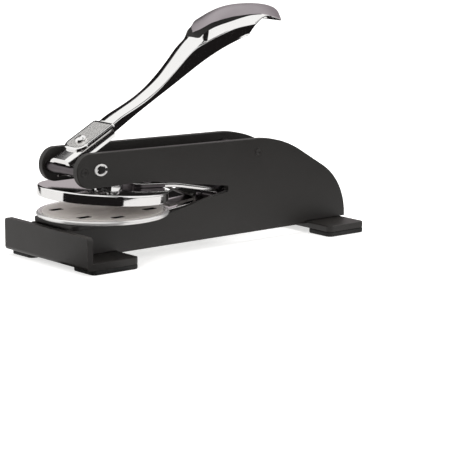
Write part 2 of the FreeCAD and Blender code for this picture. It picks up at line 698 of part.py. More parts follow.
# ---------------------------------------------------------------- lever, about the pivot
# Lever channel: folded steel with rounded shoulders; its cheeks rest on the nose rod and reach down
# to the presser pin.
channel = new_part("lever_channel", PIVOT)
CHANNEL_LOW = "(-3 * size.channel_width)"


def channel_section(across, width, height, corner):
    """An upright section of the channel at a place along the lever, square below and round above."""
    sketch = new_sketch(channel, "XZ_Plane", f"-({across})")
    rectangle_low = [(f"-{width} / 2", CHANNEL_LOW), (f"{width} / 2", CHANNEL_LOW)]
    outline(sketch, rectangle_low + [(f"{width} / 2", height, corner), (f"-{width} / 2", height, corner)])
    return sketch


SECTION_ENDS = ("-2 * size.channel_front", f"2 * {CHANNEL_REAR}")
for kind, width, height, corner in (
    ("Additive", "size.channel_width", web_top, "size.channel_round"),
    ("Subtractive", CHANNEL_INNER, web_under, "(size.channel_round - size.channel_wall)"),
):
    ends = [channel_section(across, width, height(across), corner) for across in SECTION_ENDS]
    loft = channel.newObject(f"PartDesign::{kind}Loft", f"channel_{kind.lower()}")
    loft.Profile = ends[0]
    loft.Sections = ends[1:]
LOBE_REAR = "(size.presser_y + size.lobe_radius)"
LOBE_LOW = "(-size.presser_drop - size.lobe_radius)"
CHEEK_EDGE = f"-({BUSH_RADIUS} + size.cheek_margin)"
cheeks = new_sketch(channel, "YZ_Plane")
outline(cheeks, [
    ("-size.channel_front", CHEEK_BOTTOM),
    (CHEEK_EDGE, CHEEK_BOTTOM),
    (CHEEK_EDGE, CHEEK_EDGE, "size.cheek_round"),
    ("size.presser_y - 2 * size.lobe_radius", LOBE_LOW, "size.lobe_radius"),
    (LOBE_REAR, LOBE_LOW, "size.lobe_round"),
    (LOBE_REAR, "-size.presser_drop + size.lobe_radius", "size.lobe_round"),
    (f"{BUSH_RADIUS} / 2", f"{web_under(f'{BUSH_RADIUS} / 2')} - size.channel_depth",
     "size.lobe_radius / 2"),
    (CHANNEL_REAR, f"{web_under(CHANNEL_REAR)} - size.channel_depth"),
    (CHANNEL_REAR, f"{web_top(CHANNEL_REAR)} + size.channel_round"),
    ("-size.channel_front", f"{web_top('-size.channel_front')} + size.channel_round"),
])
rectangle(cheeks, "-3 * size.channel_front", "4 * -size.channel_width", f"3 * {CHANNEL_REAR}",
          "4 * size.channel_width")
cut(channel, cheeks, "2 * size.channel_width", both=True)
drill(channel, "YZ_Plane", "0", "0", f"{BUSH_RADIUS} + size.press_clearance", "2 * size.channel_width",
      both=True)
drill(channel, "YZ_Plane", "size.presser_y", "-size.presser_drop",
      "size.presser_neck + size.press_clearance", "2 * size.channel_width", both=True)

# Pivot bush: steel sleeve pressed through both cheeks; it turns on the pivot pin.
bush = cylinder("pivot_bush", PIVOT, "YZ_Plane", "0", "0", BUSH_RADIUS, "size.channel_width", both=True)
drill(bush, "YZ_Plane", "0", "0", "size.pivot_radius + size.running_clearance", "2 * size.channel_width",
      both=True)

# Presser pin: hardened cross pin with riveted necks; it bears on the boss.
presser = cylinder("presser_pin", PIVOT, "YZ_Plane", "size.presser_y", "-size.presser_drop",
                   "size.presser_radius", f"{CHANNEL_INNER} - 2 * size.running_clearance", both=True)
add_cylinder(presser, "YZ_Plane", "size.presser_y", "-size.presser_drop", "size.presser_neck",
             "size.channel_width", both=True)

# Handle: one chromed casting, a flat collar on the channel that grows into the bar and the curled grip.
handle = new_part("handle", PIVOT)
plan = new_sketch(handle, "XY_Plane")
outline(plan, [
    ("-size.collar_width / 2", "-size.collar_front", "size.collar_front_round"),
    ("size.collar_width / 2", "-size.collar_front", "size.collar_front_round"),
    ("size.collar_width / 2", "size.collar_rear", "size.collar_rear_round"),
    ("-size.collar_width / 2", "size.collar_rear", "size.collar_rear_round"),
])
pad(handle, plan, "2 * size.channel_width")
slab = new_sketch(handle, "YZ_Plane")
outline(slab, [
    (across, f"{web_top(across)} + {lift}") for across, lift in (
        ("-2 * size.collar_front", "size.press_clearance"),
        ("2 * size.collar_rear", "size.press_clearance"),
        ("2 * size.collar_rear", "size.collar_thickness"),
        ("-2 * size.collar_front", "size.collar_thickness"),
    )
])
rectangle(slab, "-3 * size.collar_front", "-size.channel_width", "3 * size.collar_rear",
          "3 * size.channel_width")
cut(handle, slab, "2 * size.collar_width", both=True)


def station_places():
    """Running place and crest height of each handle station, as expressions."""
    place_y = "size.collar_rear"
    crest = f"{web_top('size.collar_rear')} + size.collar_thickness"
    for name in HANDLE_STATIONS:
        place_y = f"{place_y} + size.{name}_step"
        crest = f"{crest} + size.{name}_climb"
        yield name, f"({place_y})", f"({crest})"


def handle_section(body, name, place_y, crest, inset="0", below="0"):
    """One cross-section of the handle: flat below, upright sides and an arched crown."""
    sketch = new_sketch(body, "XZ_Plane", f"-{place_y}")
    half = f"(size.{name}_reach - {inset})"
    top = f"({crest} - {inset})"
    edge = f"({top} - size.{name}_crown)"
    base = f"({crest} - size.{name}_depth - {below})"
    left_low, right_low, left_up, right_up = [
        FreeCAD.Vector(sign * number(half), number(level), 0)
        for level in (base, edge) for sign in (-1, 1)
    ]
    crown_top = FreeCAD.Vector(0, number(top), 0)
    lines = [
        sketch.addGeometry(Part.LineSegment(left_low, right_low)),
        sketch.addGeometry(Part.LineSegment(right_low, right_up)),
        sketch.addGeometry(Part.Arc(right_up, crown_top, left_up)),
        sketch.addGeometry(Part.LineSegment(left_up, left_low)),
    ]
    peak = sketch.addGeometry(Part.Point(crown_top), True)
    free = [
        Sketcher.Constraint("Coincident", lines[0], 2, lines[1], 1),
        Sketcher.Constraint("Coincident", lines[1], 2, lines[2], 1),
        Sketcher.Constraint("Coincident", lines[2], 2, lines[3], 1),
        Sketcher.Constraint("Coincident", lines[3], 2, lines[0], 1),
        Sketcher.Constraint("PointOnObject", peak, 1, lines[2]),
    ]
    bound = located(lines[0], 1, f"-{half}", base) + located(lines[0], 2, half, base)
    bound += located(lines[1], 2, half, edge) + located(lines[3], 1, f"-{half}", edge)
    bound += located(peak, 1, "0", top)
    constrain(sketch, bound, free)
    return sketch


stations = list(station_places())
outer = [handle_section(handle, *station) for station in stations]
grip = handle.newObject("PartDesign::AdditiveLoft", "handle_grip")
grip.Profile = outer[0]
grip.Sections = outer[1:]
inner = [
    handle_section(handle, *station, "size.handle_wall", "size.handle_wall") for station in stations[3:-1]
]
shell = handle.newObject("PartDesign::SubtractiveLoft", "handle_shell")
shell.Profile = inner[0]
shell.Sections = inner[1:]

# The grip's side walls end behind the palm; from there the tip goes on as a curled hook.
PLACES = {name: (place_y, crest) for name, place_y, crest in stations}
PALM_Y, PALM_CREST = PLACES["palm"]
TIP_Y, TIP_CREST = PLACES["tip"]
hook = new_sketch(handle, "YZ_Plane")
outline(hook, [
    (f"{PALM_Y} - size.wall_end_back", "0"),
    (f"{PALM_Y} - size.wall_end_back", f"{PALM_CREST} - size.palm_depth"),
    (f"{PALM_Y} + size.wall_end_ahead", f"{PALM_CREST} - size.wall_end_drop"),
    (f"{PALM_Y} + size.hook_start", f"{PALM_CREST} - size.hook_drop", "size.hook_round"),
    (f"{TIP_Y} + size.handle_wall", f"{TIP_CREST} - size.tip_depth"),
    (f"{TIP_Y} + size.handle_wall", "0"),
])
cut(handle, hook, "4 * size.palm_reach", both=True)

# Handle screw: one round head, square to the collar, through it into the channel's web.
SCREW_PLACE = ("size.handle_screw_y", web_top("size.handle_screw_y"), "size.web_slope")
SCREW_SEAT = "(size.collar_thickness * cos(size.web_slope))"
SCREW_DEPTH = "(3 * size.channel_wall)"
for drilled in (handle, channel):
    hole = sloping_sketch(drilled, *SCREW_PLACE)
    circle(hole, "0", "0", "size.handle_screw_radius + size.press_clearance")
    cut(drilled, hole, f"2 * {SCREW_DEPTH}", both=True)
COLLAR = {
    "y": f"{PIVOT['y']} + {SCREW_PLACE[0]}",
    "z": f"{PIVOT['z']} + {SCREW_PLACE[1]}",
    "turn": SCREW_PLACE[2],
}
screw = cylinder("handle_screw", COLLAR, "XY_Plane", "0", "0", "size.handle_screw_radius",
                 f"{SCREW_SEAT} + {SCREW_DEPTH}", f"-{SCREW_DEPTH}")
add_cylinder(screw, "XY_Plane", "0", "0", "size.handle_screw_head", "size.screw_head_height", SCREW_SEAT)
fillet(screw, "size.screw_head_dome",
       lambda point: near(point.z, f"{SCREW_SEAT} + size.screw_head_height"))

# ---------------------------------------------------------------- springs
# Return spring: wire coil round the bush; one leg bears under the nose rod, the other under the web.
COIL_RADIUS = "(size.nose_rod_drop + size.nose_rod_radius + size.spring_gap + size.return_wire / 2)"
COIL_HALF = "(size.return_turns * size.return_pitch / 2)"
coil = new_part("return_spring", PIVOT)
wire = new_sketch(coil, "XZ_Plane")
circle(wire, f"-{COIL_HALF}", f"-{COIL_RADIUS}", "size.return_wire / 2")
helix = coil.newObject("PartDesign::AdditiveHelix", "return_coil")
helix.Profile = wire
helix.ReferenceAxis = (wire, ["H_Axis"])
helix.Mode = "pitch-turns-angle"
helix.setExpression("Pitch", "size.return_pitch")
helix.setExpression("Turns", "size.return_turns")
add_cylinder(coil, "XZ_Plane", f"-{COIL_HALF}", f"-{COIL_RADIUS}", "size.return_wire / 2", "size.return_leg")
add_cylinder(coil, "XY_Plane", COIL_HALF, COIL_RADIUS, "size.return_wire / 2",
             f"{web_under(f'{COIL_RADIUS} - size.return_wire / 2')} - size.spring_gap")

# Holder spring: bent leaf that lies on the lower arm and pushes the upper one open.
ARM_RISE = f"(({KNUCKLE_LOW} - size.jaw_height) / (size.hinge_y - size.lower_arm_bend_y))"
UPPER_FALL = f"(({CUP_TOP} + size.arm_thickness / 2) / (size.hinge_y - size.upper_arm_bend_y))"


def lower_arm_top(place_y):
    """Top of the lower arm's sloping stretch."""
    return f"({ARM_HIGH} + ({place_y} - size.lower_arm_bend_y) * {ARM_RISE})"


def upper_arm_under(place_y):
    """Underside of the upper arm's sloping stretch, swung open."""
    from_hinge = f"(size.hinge_y - ({place_y}))"
    return (f"(size.hinge_z - size.arm_thickness / 2 / cos(size.open_angle)"
            f" + {from_hinge} * tan(atan({UPPER_FALL}) + size.open_angle * 1 deg))")


LEAF_FRONT_TOP = f"({upper_arm_under('size.leaf_front_y')} - size.spring_gap)"
LEAF_BEND = lower_arm_top("size.leaf_rear_y")
LEAF_FALL = f"(({LEAF_FRONT_TOP} - {LEAF_BEND}) / (size.leaf_rear_y - size.leaf_front_y))"
LOWER_LIFT = f"(size.leaf_thickness * sqrt(1 + {ARM_RISE}^2))"
UPPER_LIFT = f"(size.leaf_thickness * sqrt(1 + {LEAF_FALL}^2))"
LEAF_CROTCH_Y = f"(size.leaf_rear_y - ({LOWER_LIFT} + {UPPER_LIFT}) / ({LEAF_FALL} + {ARM_RISE}))"
leaf = new_part("holder_spring", BENCH)
profile = new_sketch(leaf, "YZ_Plane")
outline(profile, [
    ("size.leaf_front_y", lower_arm_top("size.leaf_front_y")),
    ("size.leaf_rear_y", LEAF_BEND, "size.leaf_thickness"),
    ("size.leaf_front_y", LEAF_FRONT_TOP),
    ("size.leaf_front_y", f"{LEAF_FRONT_TOP} - {UPPER_LIFT}"),
    (LEAF_CROTCH_Y, f"{lower_arm_top(LEAF_CROTCH_Y)} + {LOWER_LIFT}"),
    ("size.leaf_front_y", f"{lower_arm_top('size.leaf_front_y')} + {LOWER_LIFT}"),
])
pad(leaf, profile, "size.leaf_width", both=True)

document.recompute()

# ---------------------------------------------------------------- checks and export
for item in document.Objects:
    if "Invalid" in item.State or "Error" in item.State:
        raise RuntimeError(f"{item.Label} failed: {item.State}")
os.makedirs("parts", exist_ok=True)
for item in parts:
    if item.Shape.isNull() or not item.Shape.isValid():
        raise RuntimeError(f"{item.Label} has no valid shape")
    item.Shape.exportStep(f"parts/{item.Label}.step")
    print(item.Label, len(item.Shape.Solids), round(item.Shape.Volume, 1))
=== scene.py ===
import bisect
import math

import bmesh
import bpy
from mathutils import Matrix, Vector


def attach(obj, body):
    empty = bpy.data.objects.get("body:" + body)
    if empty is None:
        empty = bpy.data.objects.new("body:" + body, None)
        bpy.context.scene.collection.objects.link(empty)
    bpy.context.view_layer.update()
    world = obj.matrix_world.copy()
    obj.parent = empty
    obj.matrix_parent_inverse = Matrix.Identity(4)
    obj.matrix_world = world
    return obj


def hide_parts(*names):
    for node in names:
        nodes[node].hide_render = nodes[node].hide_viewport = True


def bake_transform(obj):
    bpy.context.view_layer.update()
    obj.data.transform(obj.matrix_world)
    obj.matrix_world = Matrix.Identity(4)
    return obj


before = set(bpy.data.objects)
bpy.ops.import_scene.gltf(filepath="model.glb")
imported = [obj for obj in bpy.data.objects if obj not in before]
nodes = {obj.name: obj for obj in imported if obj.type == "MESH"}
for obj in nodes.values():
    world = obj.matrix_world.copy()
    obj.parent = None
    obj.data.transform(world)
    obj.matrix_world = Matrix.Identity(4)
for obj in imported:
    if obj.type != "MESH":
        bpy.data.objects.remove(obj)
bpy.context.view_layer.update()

# ---------------------------------------------------------------- desk, camera and light
# The press stands on a pale sheet on a desk, inside a white light tent. The polished metal shows the
# sheet's edge, a grey wall behind on the left and the dark side where the camera stands.
view_azimuth = math.radians(50.87)
view_elevation = math.radians(11.28)
view_place = Vector((0.76163, -0.59517, 0.19488))
image_width = 470
focal_pixels = 2268.1
film_width = 36.0


def add_object(name, data):
    """Puts new data in the scene as an object."""
    item = bpy.data.objects.new(name, data)
    bpy.context.scene.collection.objects.link(item)
    return item


def aim(item, place, back):
    """Stands a camera or a lamp at a place, with its back to a direction."""
    item.location = place
    item.rotation_mode = "QUATERNION"
    item.rotation_quaternion = back.to_track_quat("Z", "Y")


def feed(tree, value, socket):
    """Links an output to an input, or sets the input to a plain number, vector or colour."""
    if isinstance(value, bpy.types.NodeSocket):
        tree.links.new(value, socket)
    elif socket.type == "RGBA":
        socket.default_value = (*value, 1.0)
    else:
        socket.default_value = value


def add_node(tree, kind, *values, **settings):
    """A shader node; values feed its inputs in order, settings its properties or inputs by name."""
    node = tree.nodes.new(kind)
    for name, value in settings.items():
        if hasattr(node, name):
            setattr(node, name, value)
        else:
            feed(tree, value, node.inputs[name.replace("_", " ")])
    for value, socket in zip(values, node.inputs):
        feed(tree, value, socket)
    return node


def ramp_between(tree, value, low, high, start=0.0, end=1.0):
    """Smoothly maps a value from low..high to start..end."""
    node = add_node(tree, "ShaderNodeMapRange", value, low, high, start, end, interpolation_type="SMOOTHSTEP")
    return node.outputs["Result"]


def mix_colors(tree, share, first, second):
    """Mixes two colours; each may be a socket or a plain colour."""
    node = add_node(tree, "ShaderNodeMix", share, data_type="RGBA")
    feed(tree, first, node.inputs[6])
    feed(tree, second, node.inputs[7])
    return node.outputs[2]


def combine(tree, operation, first, second):
    """A math node of two values; each may be a socket or a number."""
    return add_node(tree, "ShaderNodeMath", first, second, operation=operation).outputs["Value"]


def along(tree, vector, direction):
    """How far a vector reaches in a direction, which may be a socket too."""
    return add_node(tree, "ShaderNodeVectorMath", vector, direction, operation="DOT_PRODUCT").outputs["Value"]


def distance(tree, place, point):
    """How far a place lies from a point."""
    return add_node(tree, "ShaderNodeVectorMath", place, point, operation="DISTANCE").outputs["Value"]


def mirror_rays(tree):
    """1 for rays that left a glossy or a clear surface."""
    path = add_node(tree, "ShaderNodeLightPath")
    return combine(tree, "MAXIMUM", path.outputs["Is Glossy Ray"], path.outputs["Is Transmission Ray"])


camera_data = bpy.data.cameras.new("camera")
camera_data.sensor_fit = "HORIZONTAL"
camera_data.sensor_width = film_width
camera_data.lens = focal_pixels / image_width * film_width
camera_data.clip_start = 0.01
camera = add_object("camera", camera_data)
aim(camera, view_place, Vector((
    math.sin(view_azimuth) * math.cos(view_elevation),
    -math.cos(view_azimuth) * math.cos(view_elevation),
    math.sin(view_elevation),
)))
bpy.context.scene.camera = camera
bpy.context.scene.view_settings.view_transform = "Standard"

# The camera's side is dark between two edges that fan out from the press; both the desk and the tent's
# wall beyond it are dark there. The tent also has a grey wall, a dark panel far to the left and a dark
# seam overhead. Each is named by the side it lies on, and its edges fade from one value to another.
fan_point = Vector((0.013, -0.056, 0.0))
fan_left = Vector((0.947, -0.320, 0.0))
fan_right = Vector((0.010, -1.000, 0.0))
fan_fade = 0.02
fan_top = (0.50, 0.35)
grey_side = Vector((-0.70, 0.70, 0.12))
grey_fade = (0.62, 0.80)
grey_top = (0.58, 0.50)
panel_side = Vector((-0.93, 0.22, 0.30))
panel_fade = (0.952, 0.962)
seam_side = 0.08
seam_fade = (0.15, 0.12)
seam_near = (0.04, 0.10)
seam_low = (0.28, 0.36)
horizon_fade = (-0.03, 0.05)
tent_white = (1.0, 1.0, 0.99)
tent_dark = (0.010, 0.009, 0.009)
tent_grey = (0.44, 0.40, 0.415)
backdrop_white = (1.0, 1.0, 1.0)
fill_light = (0.62, 0.62, 0.62)


def inside_fan(tree, vector, softness):
    """1 where a direction or a place lies between the fan's two edges."""
    return combine(
        tree, "MULTIPLY",
        ramp_between(tree, along(tree, vector, fan_left), -softness, softness),
        ramp_between(tree, along(tree, vector, fan_right), -softness, softness),
    )


world = bpy.data.worlds.new("light_tent")
bpy.context.scene.world = world
world.use_nodes = True
tree = world.node_tree
tree.nodes.clear()
direction = add_node(tree, "ShaderNodeTexCoord").outputs["Generated"]
height = along(tree, direction, (0, 0, 1))
above_desk = ramp_between(tree, height, *horizon_fade)
wall = combine(
    tree, "MULTIPLY",
    ramp_between(tree, along(tree, direction, grey_side), *grey_fade),
    ramp_between(tree, height, *grey_top),
)
behind_camera = combine(
    tree, "MULTIPLY", inside_fan(tree, direction, fan_fade), ramp_between(tree, height, *fan_top))
panel = ramp_between(tree, along(tree, direction, panel_side), *panel_fade)
to_seam = combine(tree, "ABSOLUTE", combine(tree, "ADD", along(tree, direction, (0, 1, 0)), -seam_side), 0.0)
seam = combine(
    tree, "MULTIPLY",
    ramp_between(tree, to_seam, *seam_fade),
    ramp_between(tree, along(tree, direction, (1, 0, 0)), *seam_near),
)
seam = combine(tree, "MULTIPLY", seam, ramp_between(tree, height, *seam_low))
dark_places = combine(tree, "MAXIMUM", panel, seam)
tent = mix_colors(tree, above_desk, tent_dark, tent_white)
tent = mix_colors(tree, wall, tent, tent_grey)
tent = mix_colors(tree, combine(tree, "MAXIMUM", behind_camera, dark_places), tent, tent_dark)
to_camera = add_node(tree, "ShaderNodeLightPath").outputs["Is Camera Ray"]
seen = mix_colors(tree, to_camera, fill_light, backdrop_white)
background = add_node(tree, "ShaderNodeBackground", mix_colors(tree, mirror_rays(tree), seen, tent))
add_node(tree, "ShaderNodeOutputWorld", background.outputs["Background"])

lamps = {
    # name: place, size, watts
    "top_softbox": ((-0.25, 0.25, 0.95), 0.8, 9.0),
    "front_softbox": ((0.15, -0.75, 0.55), 0.5, 1.4),
}
for name, (place, size, watts) in lamps.items():
    lamp_data = bpy.data.lights.new(name, "AREA")
    lamp_data.size = size
    lamp_data.energy = watts
    lamp = add_object(name, lamp_data)
    aim(lamp, place, Vector(place))
    lamp.visible_glossy = False

desk_size = 8.0
desk_color = (0.80, 0.79, 0.785)
desk_mirrored = (0.92, 0.91, 0.90)
desk_glow = 0.62
sheet_centre = Vector((0.0, -0.0472, 0.0))
sheet_reach = 0.205
sheet_fade = 0.015
sheet_edge = 0.002
front_fade = (0.02, 0.06)
desk_mesh = bpy.data.meshes.new("desk")
half = desk_size / 2
corners = ((-1, -1), (1, -1), (1, 1), (-1, 1))
desk_mesh.from_pydata([(half * first, half * second, 0) for first, second in corners], [], [(0, 1, 2, 3)])
desk = add_object("desk", desk_mesh)
desk_material = bpy.data.materials.new("desk_sheet")
desk_material.use_nodes = True
tree = desk_material.node_tree
tree.nodes.clear()
place = add_node(tree, "ShaderNodeTexCoord").outputs["Object"]
near_press = ramp_between(tree, distance(tree, place, sheet_centre), sheet_reach + sheet_fade, sheet_reach)
place = add_node(tree, "ShaderNodeVectorMath", place, fan_point, operation="SUBTRACT").outputs["Vector"]
front_left = combine(
    tree, "MULTIPLY",
    ramp_between(tree, along(tree, place, fan_left), sheet_edge, -sheet_edge),
    ramp_between(tree, along(tree, place, (0, -1, 0)), *front_fade),
)
off_fan = combine(tree, "SUBTRACT", 1.0, inside_fan(tree, place, sheet_edge))
on_sheet = combine(tree, "MULTIPLY", combine(tree, "MAXIMUM", near_press, front_left), off_fan)
mirrored = add_node(tree, "ShaderNodeEmission", mix_colors(tree, on_sheet, tent_dark, desk_mirrored))
plain = add_node(tree, "ShaderNodeBsdfDiffuse", desk_color)
to_camera = add_node(tree, "ShaderNodeLightPath").outputs["Is Camera Ray"]
glow = add_node(tree, "ShaderNodeEmission", tent_white, combine(tree, "MULTIPLY", to_camera, desk_glow))
lit = add_node(tree, "ShaderNodeAddShader", plain.outputs["BSDF"], glow.outputs["Emission"])
seen = add_node(
    tree, "ShaderNodeMixShader", mirror_rays(tree), lit.outputs["Shader"], mirrored.outputs["Emission"])
add_node(tree, "ShaderNodeOutputMaterial", seen.outputs["Shader"])
desk_mesh.materials.append(desk_material)

# ---------------------------------------------------------------- side plates
# Two flat plates sawn from 3 mm steel, with a long throat for the sheet. They are bead blasted, their
# edges are broken, and they are painted with a semi-gloss black baked enamel.
# Pieces are drawn in millimetres: across, back from the front plate's face, and up from the desk.
bench = Matrix.Translation((0, -0.0766, 0)) @ Matrix.Scale(0.001, 4)
lengthways = Matrix(((0, 0, 1, 0), (1, 0, 0, 0), (0, 1, 0, 0), (0, 0, 0, 1)))


def rounded_outline(corners, steps=10):
    """Points of a closed outline through corners (first, second[, round]), with arcs at the round ones."""
    places = [Vector(corner[:2]) for corner in corners]
    points = []
    for index, corner in enumerate(corners):
        place = places[index]
        if len(corner) < 3:
            points.append(place)
            continue
        back = (places[index - 1] - place).normalized()
        ahead = (places[(index + 1) % len(places)] - place).normalized()
        half_angle = back.angle(ahead) / 2
        centre = place + (back + ahead).normalized() * (corner[2] / math.sin(half_angle))
        first = place + back * (corner[2] / math.tan(half_angle)) - centre
        last = place + ahead * (corner[2] / math.tan(half_angle)) - centre
        sweep = math.copysign(math.pi - 2 * half_angle, first.x * last.y - first.y * last.x)
        points += [centre + Matrix.Rotation(sweep * step / steps, 2) @ first for step in range(steps + 1)]
    return points


def rounded_box(low, high, radius, steps=10):
    """Points of a rectangle's outline between two corners, its own corners rounded."""
    corners = (low[0], low[1]), (high[0], low[1]), (high[0], high[1]), (low[0], high[1])
    return rounded_outline([(*corner, radius) for corner in corners], steps)


def round_hole(first, second, radius, sides=48):
    """Points of a circle in an outline's plane."""
    turns = [2 * math.pi * step / sides for step in range(sides)]
    return [Vector((first + radius * math.cos(turn), second + radius * math.sin(turn))) for turn in turns]


def settle(work, before, place):
    """Joins and places the points that were added to a working mesh since before."""
    bmesh.ops.remove_doubles(work, verts=[vert for vert in work.verts if vert not in before], dist=1e-4)
    bmesh.ops.transform(work, matrix=place, verts=[vert for vert in work.verts if vert not in before])


def add_sheet(work, outline, low, high, edge, place, holes=()):
    """Adds a flat sheet between two levels, cut to an outline with holes, its edges rounded."""
    curve = bpy.data.curves.new("outline", "CURVE")
    curve.dimensions = "2D"
    curve.fill_mode = "BOTH"
    curve.extrude = (high - low) / 2 - edge
    curve.bevel_depth = edge
    curve.bevel_resolution = 2
    curve.offset = -edge
    for ring in (outline, *holes):
        spline = curve.splines.new("POLY")
        spline.points.add(len(ring) - 1)
        for point, (first, second) in zip(spline.points, ring):
            point.co = (first, second, 0, 1)
        spline.use_cyclic_u = True
    holder = bpy.data.objects.new("outline", curve)
    mesh = bpy.data.meshes.new_from_object(holder)
    before = set(work.verts)
    work.from_mesh(mesh)
    settle(work, before, place @ Matrix.Translation((0, 0, (low + high) / 2)))
    bpy.data.objects.remove(holder)
    bpy.data.curves.remove(curve)
    bpy.data.meshes.remove(mesh)


def finished_mesh(name, work, angle):
    """Turns a working mesh into an object, smooth but for its sharp edges and even on its flat faces."""
    mesh = bpy.data.meshes.new(name)
    for face in work.faces:
        face.smooth = True
    work.to_mesh(mesh)
    work.free()
    mesh.set_sharp_from_angle(angle=math.radians(angle))
    piece = add_object(name, mesh)
    even = piece.modifiers.new("even_faces", "WEIGHTED_NORMAL")
    even.keep_sharp = True
    return piece


def fit_piece(name, work, node, body, slot, *materials, angle=35.0):
    """Puts a new piece in the place of a solid, on its body and with its finish."""
    piece = finished_mesh(name, work, angle)
    for material in materials:
        piece.data.materials.append(material)
    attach(piece, body)
    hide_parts(node)


def shader_group(name, inputs, outputs):
    """A node group whose sockets are all plain values; returns it with its two ends."""
    group = bpy.data.node_groups.new(name, "ShaderNodeTree")
    for way, sockets in (("OUTPUT", outputs), ("INPUT", inputs)):
        for socket in sockets:
            group.interface.new_socket(socket, in_out=way, socket_type="NodeSocketFloat")
    return group, group.nodes.new("NodeGroupInput"), group.nodes.new("NodeGroupOutput")


def use_group(tree, group, **values):
    """Places a group in a material with its own values."""
    return add_node(tree, "ShaderNodeGroup", node_tree=group, **values)


def object_noise(tree, scale, detail, roughness=0.5):
    """Noise fixed to the piece, from 0 to 1, with its scale from a socket."""
    place = add_node(tree, "ShaderNodeTexCoord").outputs["Object"]
    noise = add_node(
        tree, "ShaderNodeTexNoise", Vector=place, Scale=scale, Detail=detail, Roughness=roughness)
    return noise.outputs["Fac"]


# Grain: a fine and a broad noise, for height and for patches of colour and gloss.
grain, ends_in, ends_out = shader_group("grain", ("Fine", "Broad"), ("Height", "Patches"))
grain.links.new(object_noise(grain, ends_in.outputs["Fine"], 3.0), ends_out.inputs["Height"])
grain.links.new(object_noise(grain, ends_in.outputs["Broad"], 4.0, 0.6), ends_out.inputs["Patches"])

# Lighter edges, a painted highlight broken up by noise like wear: the Bevel node's normal leaves the true one
# near an edge, and noise breaks the line up.
edge_sheen_and_wear, ends_in, ends_out = shader_group("edge_sheen_and_wear", ("Width", "Breakup"), ("Mask",))
rounded = add_node(edge_sheen_and_wear, "ShaderNodeBevel", ends_in.outputs["Width"], samples=6)
true_normal = add_node(edge_sheen_and_wear, "ShaderNodeNewGeometry")
turned = along(edge_sheen_and_wear, rounded.outputs["Normal"], true_normal.outputs["Normal"])
edge = ramp_between(edge_sheen_and_wear, turned, 0.985, 0.86)
broken = ramp_between(edge_sheen_and_wear, object_noise(edge_sheen_and_wear, ends_in.outputs["Breakup"], 4.0), 0.36, 0.62)
edge_sheen_and_wear.links.new(combine(edge_sheen_and_wear, "MULTIPLY", edge, broken), ends_out.inputs["Mask"])


def plain_material(name, metallic, bump, **constants):
    """A Principled material with a bump node; constants go straight to the shader's own sockets."""
    material = bpy.data.materials.new(name)
    material.use_nodes = True
    tree = material.node_tree
    shader = tree.nodes["Principled BSDF"]
    shader.inputs["Metallic"].default_value = metallic
    for socket, value in constants.items():
        shader.inputs[socket.replace("_", " ")].default_value = value
    relief = add_node(tree, "ShaderNodeBump", Strength=1.0, Distance=bump)
    tree.links.new(relief.outputs["Normal"], shader.inputs["Normal"])
    return material, tree, shader, relief


def grained_material(name, metallic, bump, fine, broad, colors, roughness, **constants):
    """A material whose colour and gloss vary in broad patches and whose surface has a fine grain."""
    material, tree, shader, relief = plain_material(name, metallic, bump, **constants)
    texture = use_group(tree, grain, Fine=fine, Broad=broad)
    tree.links.new(mix_colors(tree, texture.outputs["Patches"], *colors), shader.inputs["Base Color"])
    gloss = ramp_between(tree, texture.outputs["Patches"], *noise_span, *roughness)
    tree.links.new(gloss, shader.inputs["Roughness"])
    tree.links.new(texture.outputs["Height"], relief.inputs["Height"])
    return material


noise_span = (0.3, 0.7)
enamel_black = (0.0148, 0.0128, 0.0115)
enamel_pale = [1.16 * part for part in enamel_black]
enamel_edge_sheen = (0.040, 0.036, 0.033)
enamel_gloss = (0.40, 0.50)
black_enamel, tree, shader, relief = plain_material("black_enamel", metallic=0.0, bump=0.00003, IOR=1.5)
texture = use_group(tree, grain, Fine=2600.0, Broad=34.0)
edges = use_group(tree, edge_sheen_and_wear, Width=0.0006, Breakup=420.0)
shade = mix_colors(tree, texture.outputs["Patches"], enamel_black, enamel_pale)
# The enamel is mixed to a lighter colour at its edges: a painted edge highlight, broken up like wear.
tree.links.new(mix_colors(tree, edges.outputs["Mask"], shade, enamel_edge_sheen), shader.inputs["Base Color"])
gloss = ramp_between(tree, texture.outputs["Patches"], *noise_span, *enamel_gloss)
tree.links.new(gloss, shader.inputs["Roughness"])
tree.links.new(texture.outputs["Height"], relief.inputs["Height"])

plate_inner = 11.0
plate_outer = 14.0
plate_edge = 0.35
nose_rod_place = (10.4, 39.2)
rear_rod_place = (102.8, 38.8)
pivot_place = (18.5, 39.9)
rivet_radius = 1.7
pin_radius = 2.0
plate_outline = rounded_outline([
    (2.8, 4.9), (26.6, 4.9), (26.6, 3.9), (130.0, 3.9), (130.0, 4.9), (153.2, 4.9), (153.2, 21.3, 27.0),
    (115.5, 44.5, 50.0), (6.7, 47.2, 7.18), (6.7, 32.4, 7.18), (43.5, 32.4, 8.0), (86.0, 25.8, 0.8),
    (86.0, 23.4, 0.8), (46.0, 16.2, 8.0), (2.8, 16.2),
], steps=16)
plate_holes = [
    round_hole(*nose_rod_place, rivet_radius), round_hole(*rear_rod_place, rivet_radius),
    round_hole(*pivot_place, pin_radius),
]
for side, low, high in (("left", -plate_outer, -plate_inner), ("right", plate_inner, plate_outer)):
    work = bmesh.new()
    add_sheet(work, plate_outline, low, high, plate_edge, bench @ lengthways, plate_holes)
    fit_piece(f"plate_{side}", work, f"side_plate_{side}", "frame", "black_enamel", black_enamel)

# ---------------------------------------------------------------- straps and feet
# The front bracket is one strap bent up into the low front plate; the rear strap is a flat bar. Both are
# riveted to the plates and enamelled with them. Moulded rubber pads are glued under their ends.


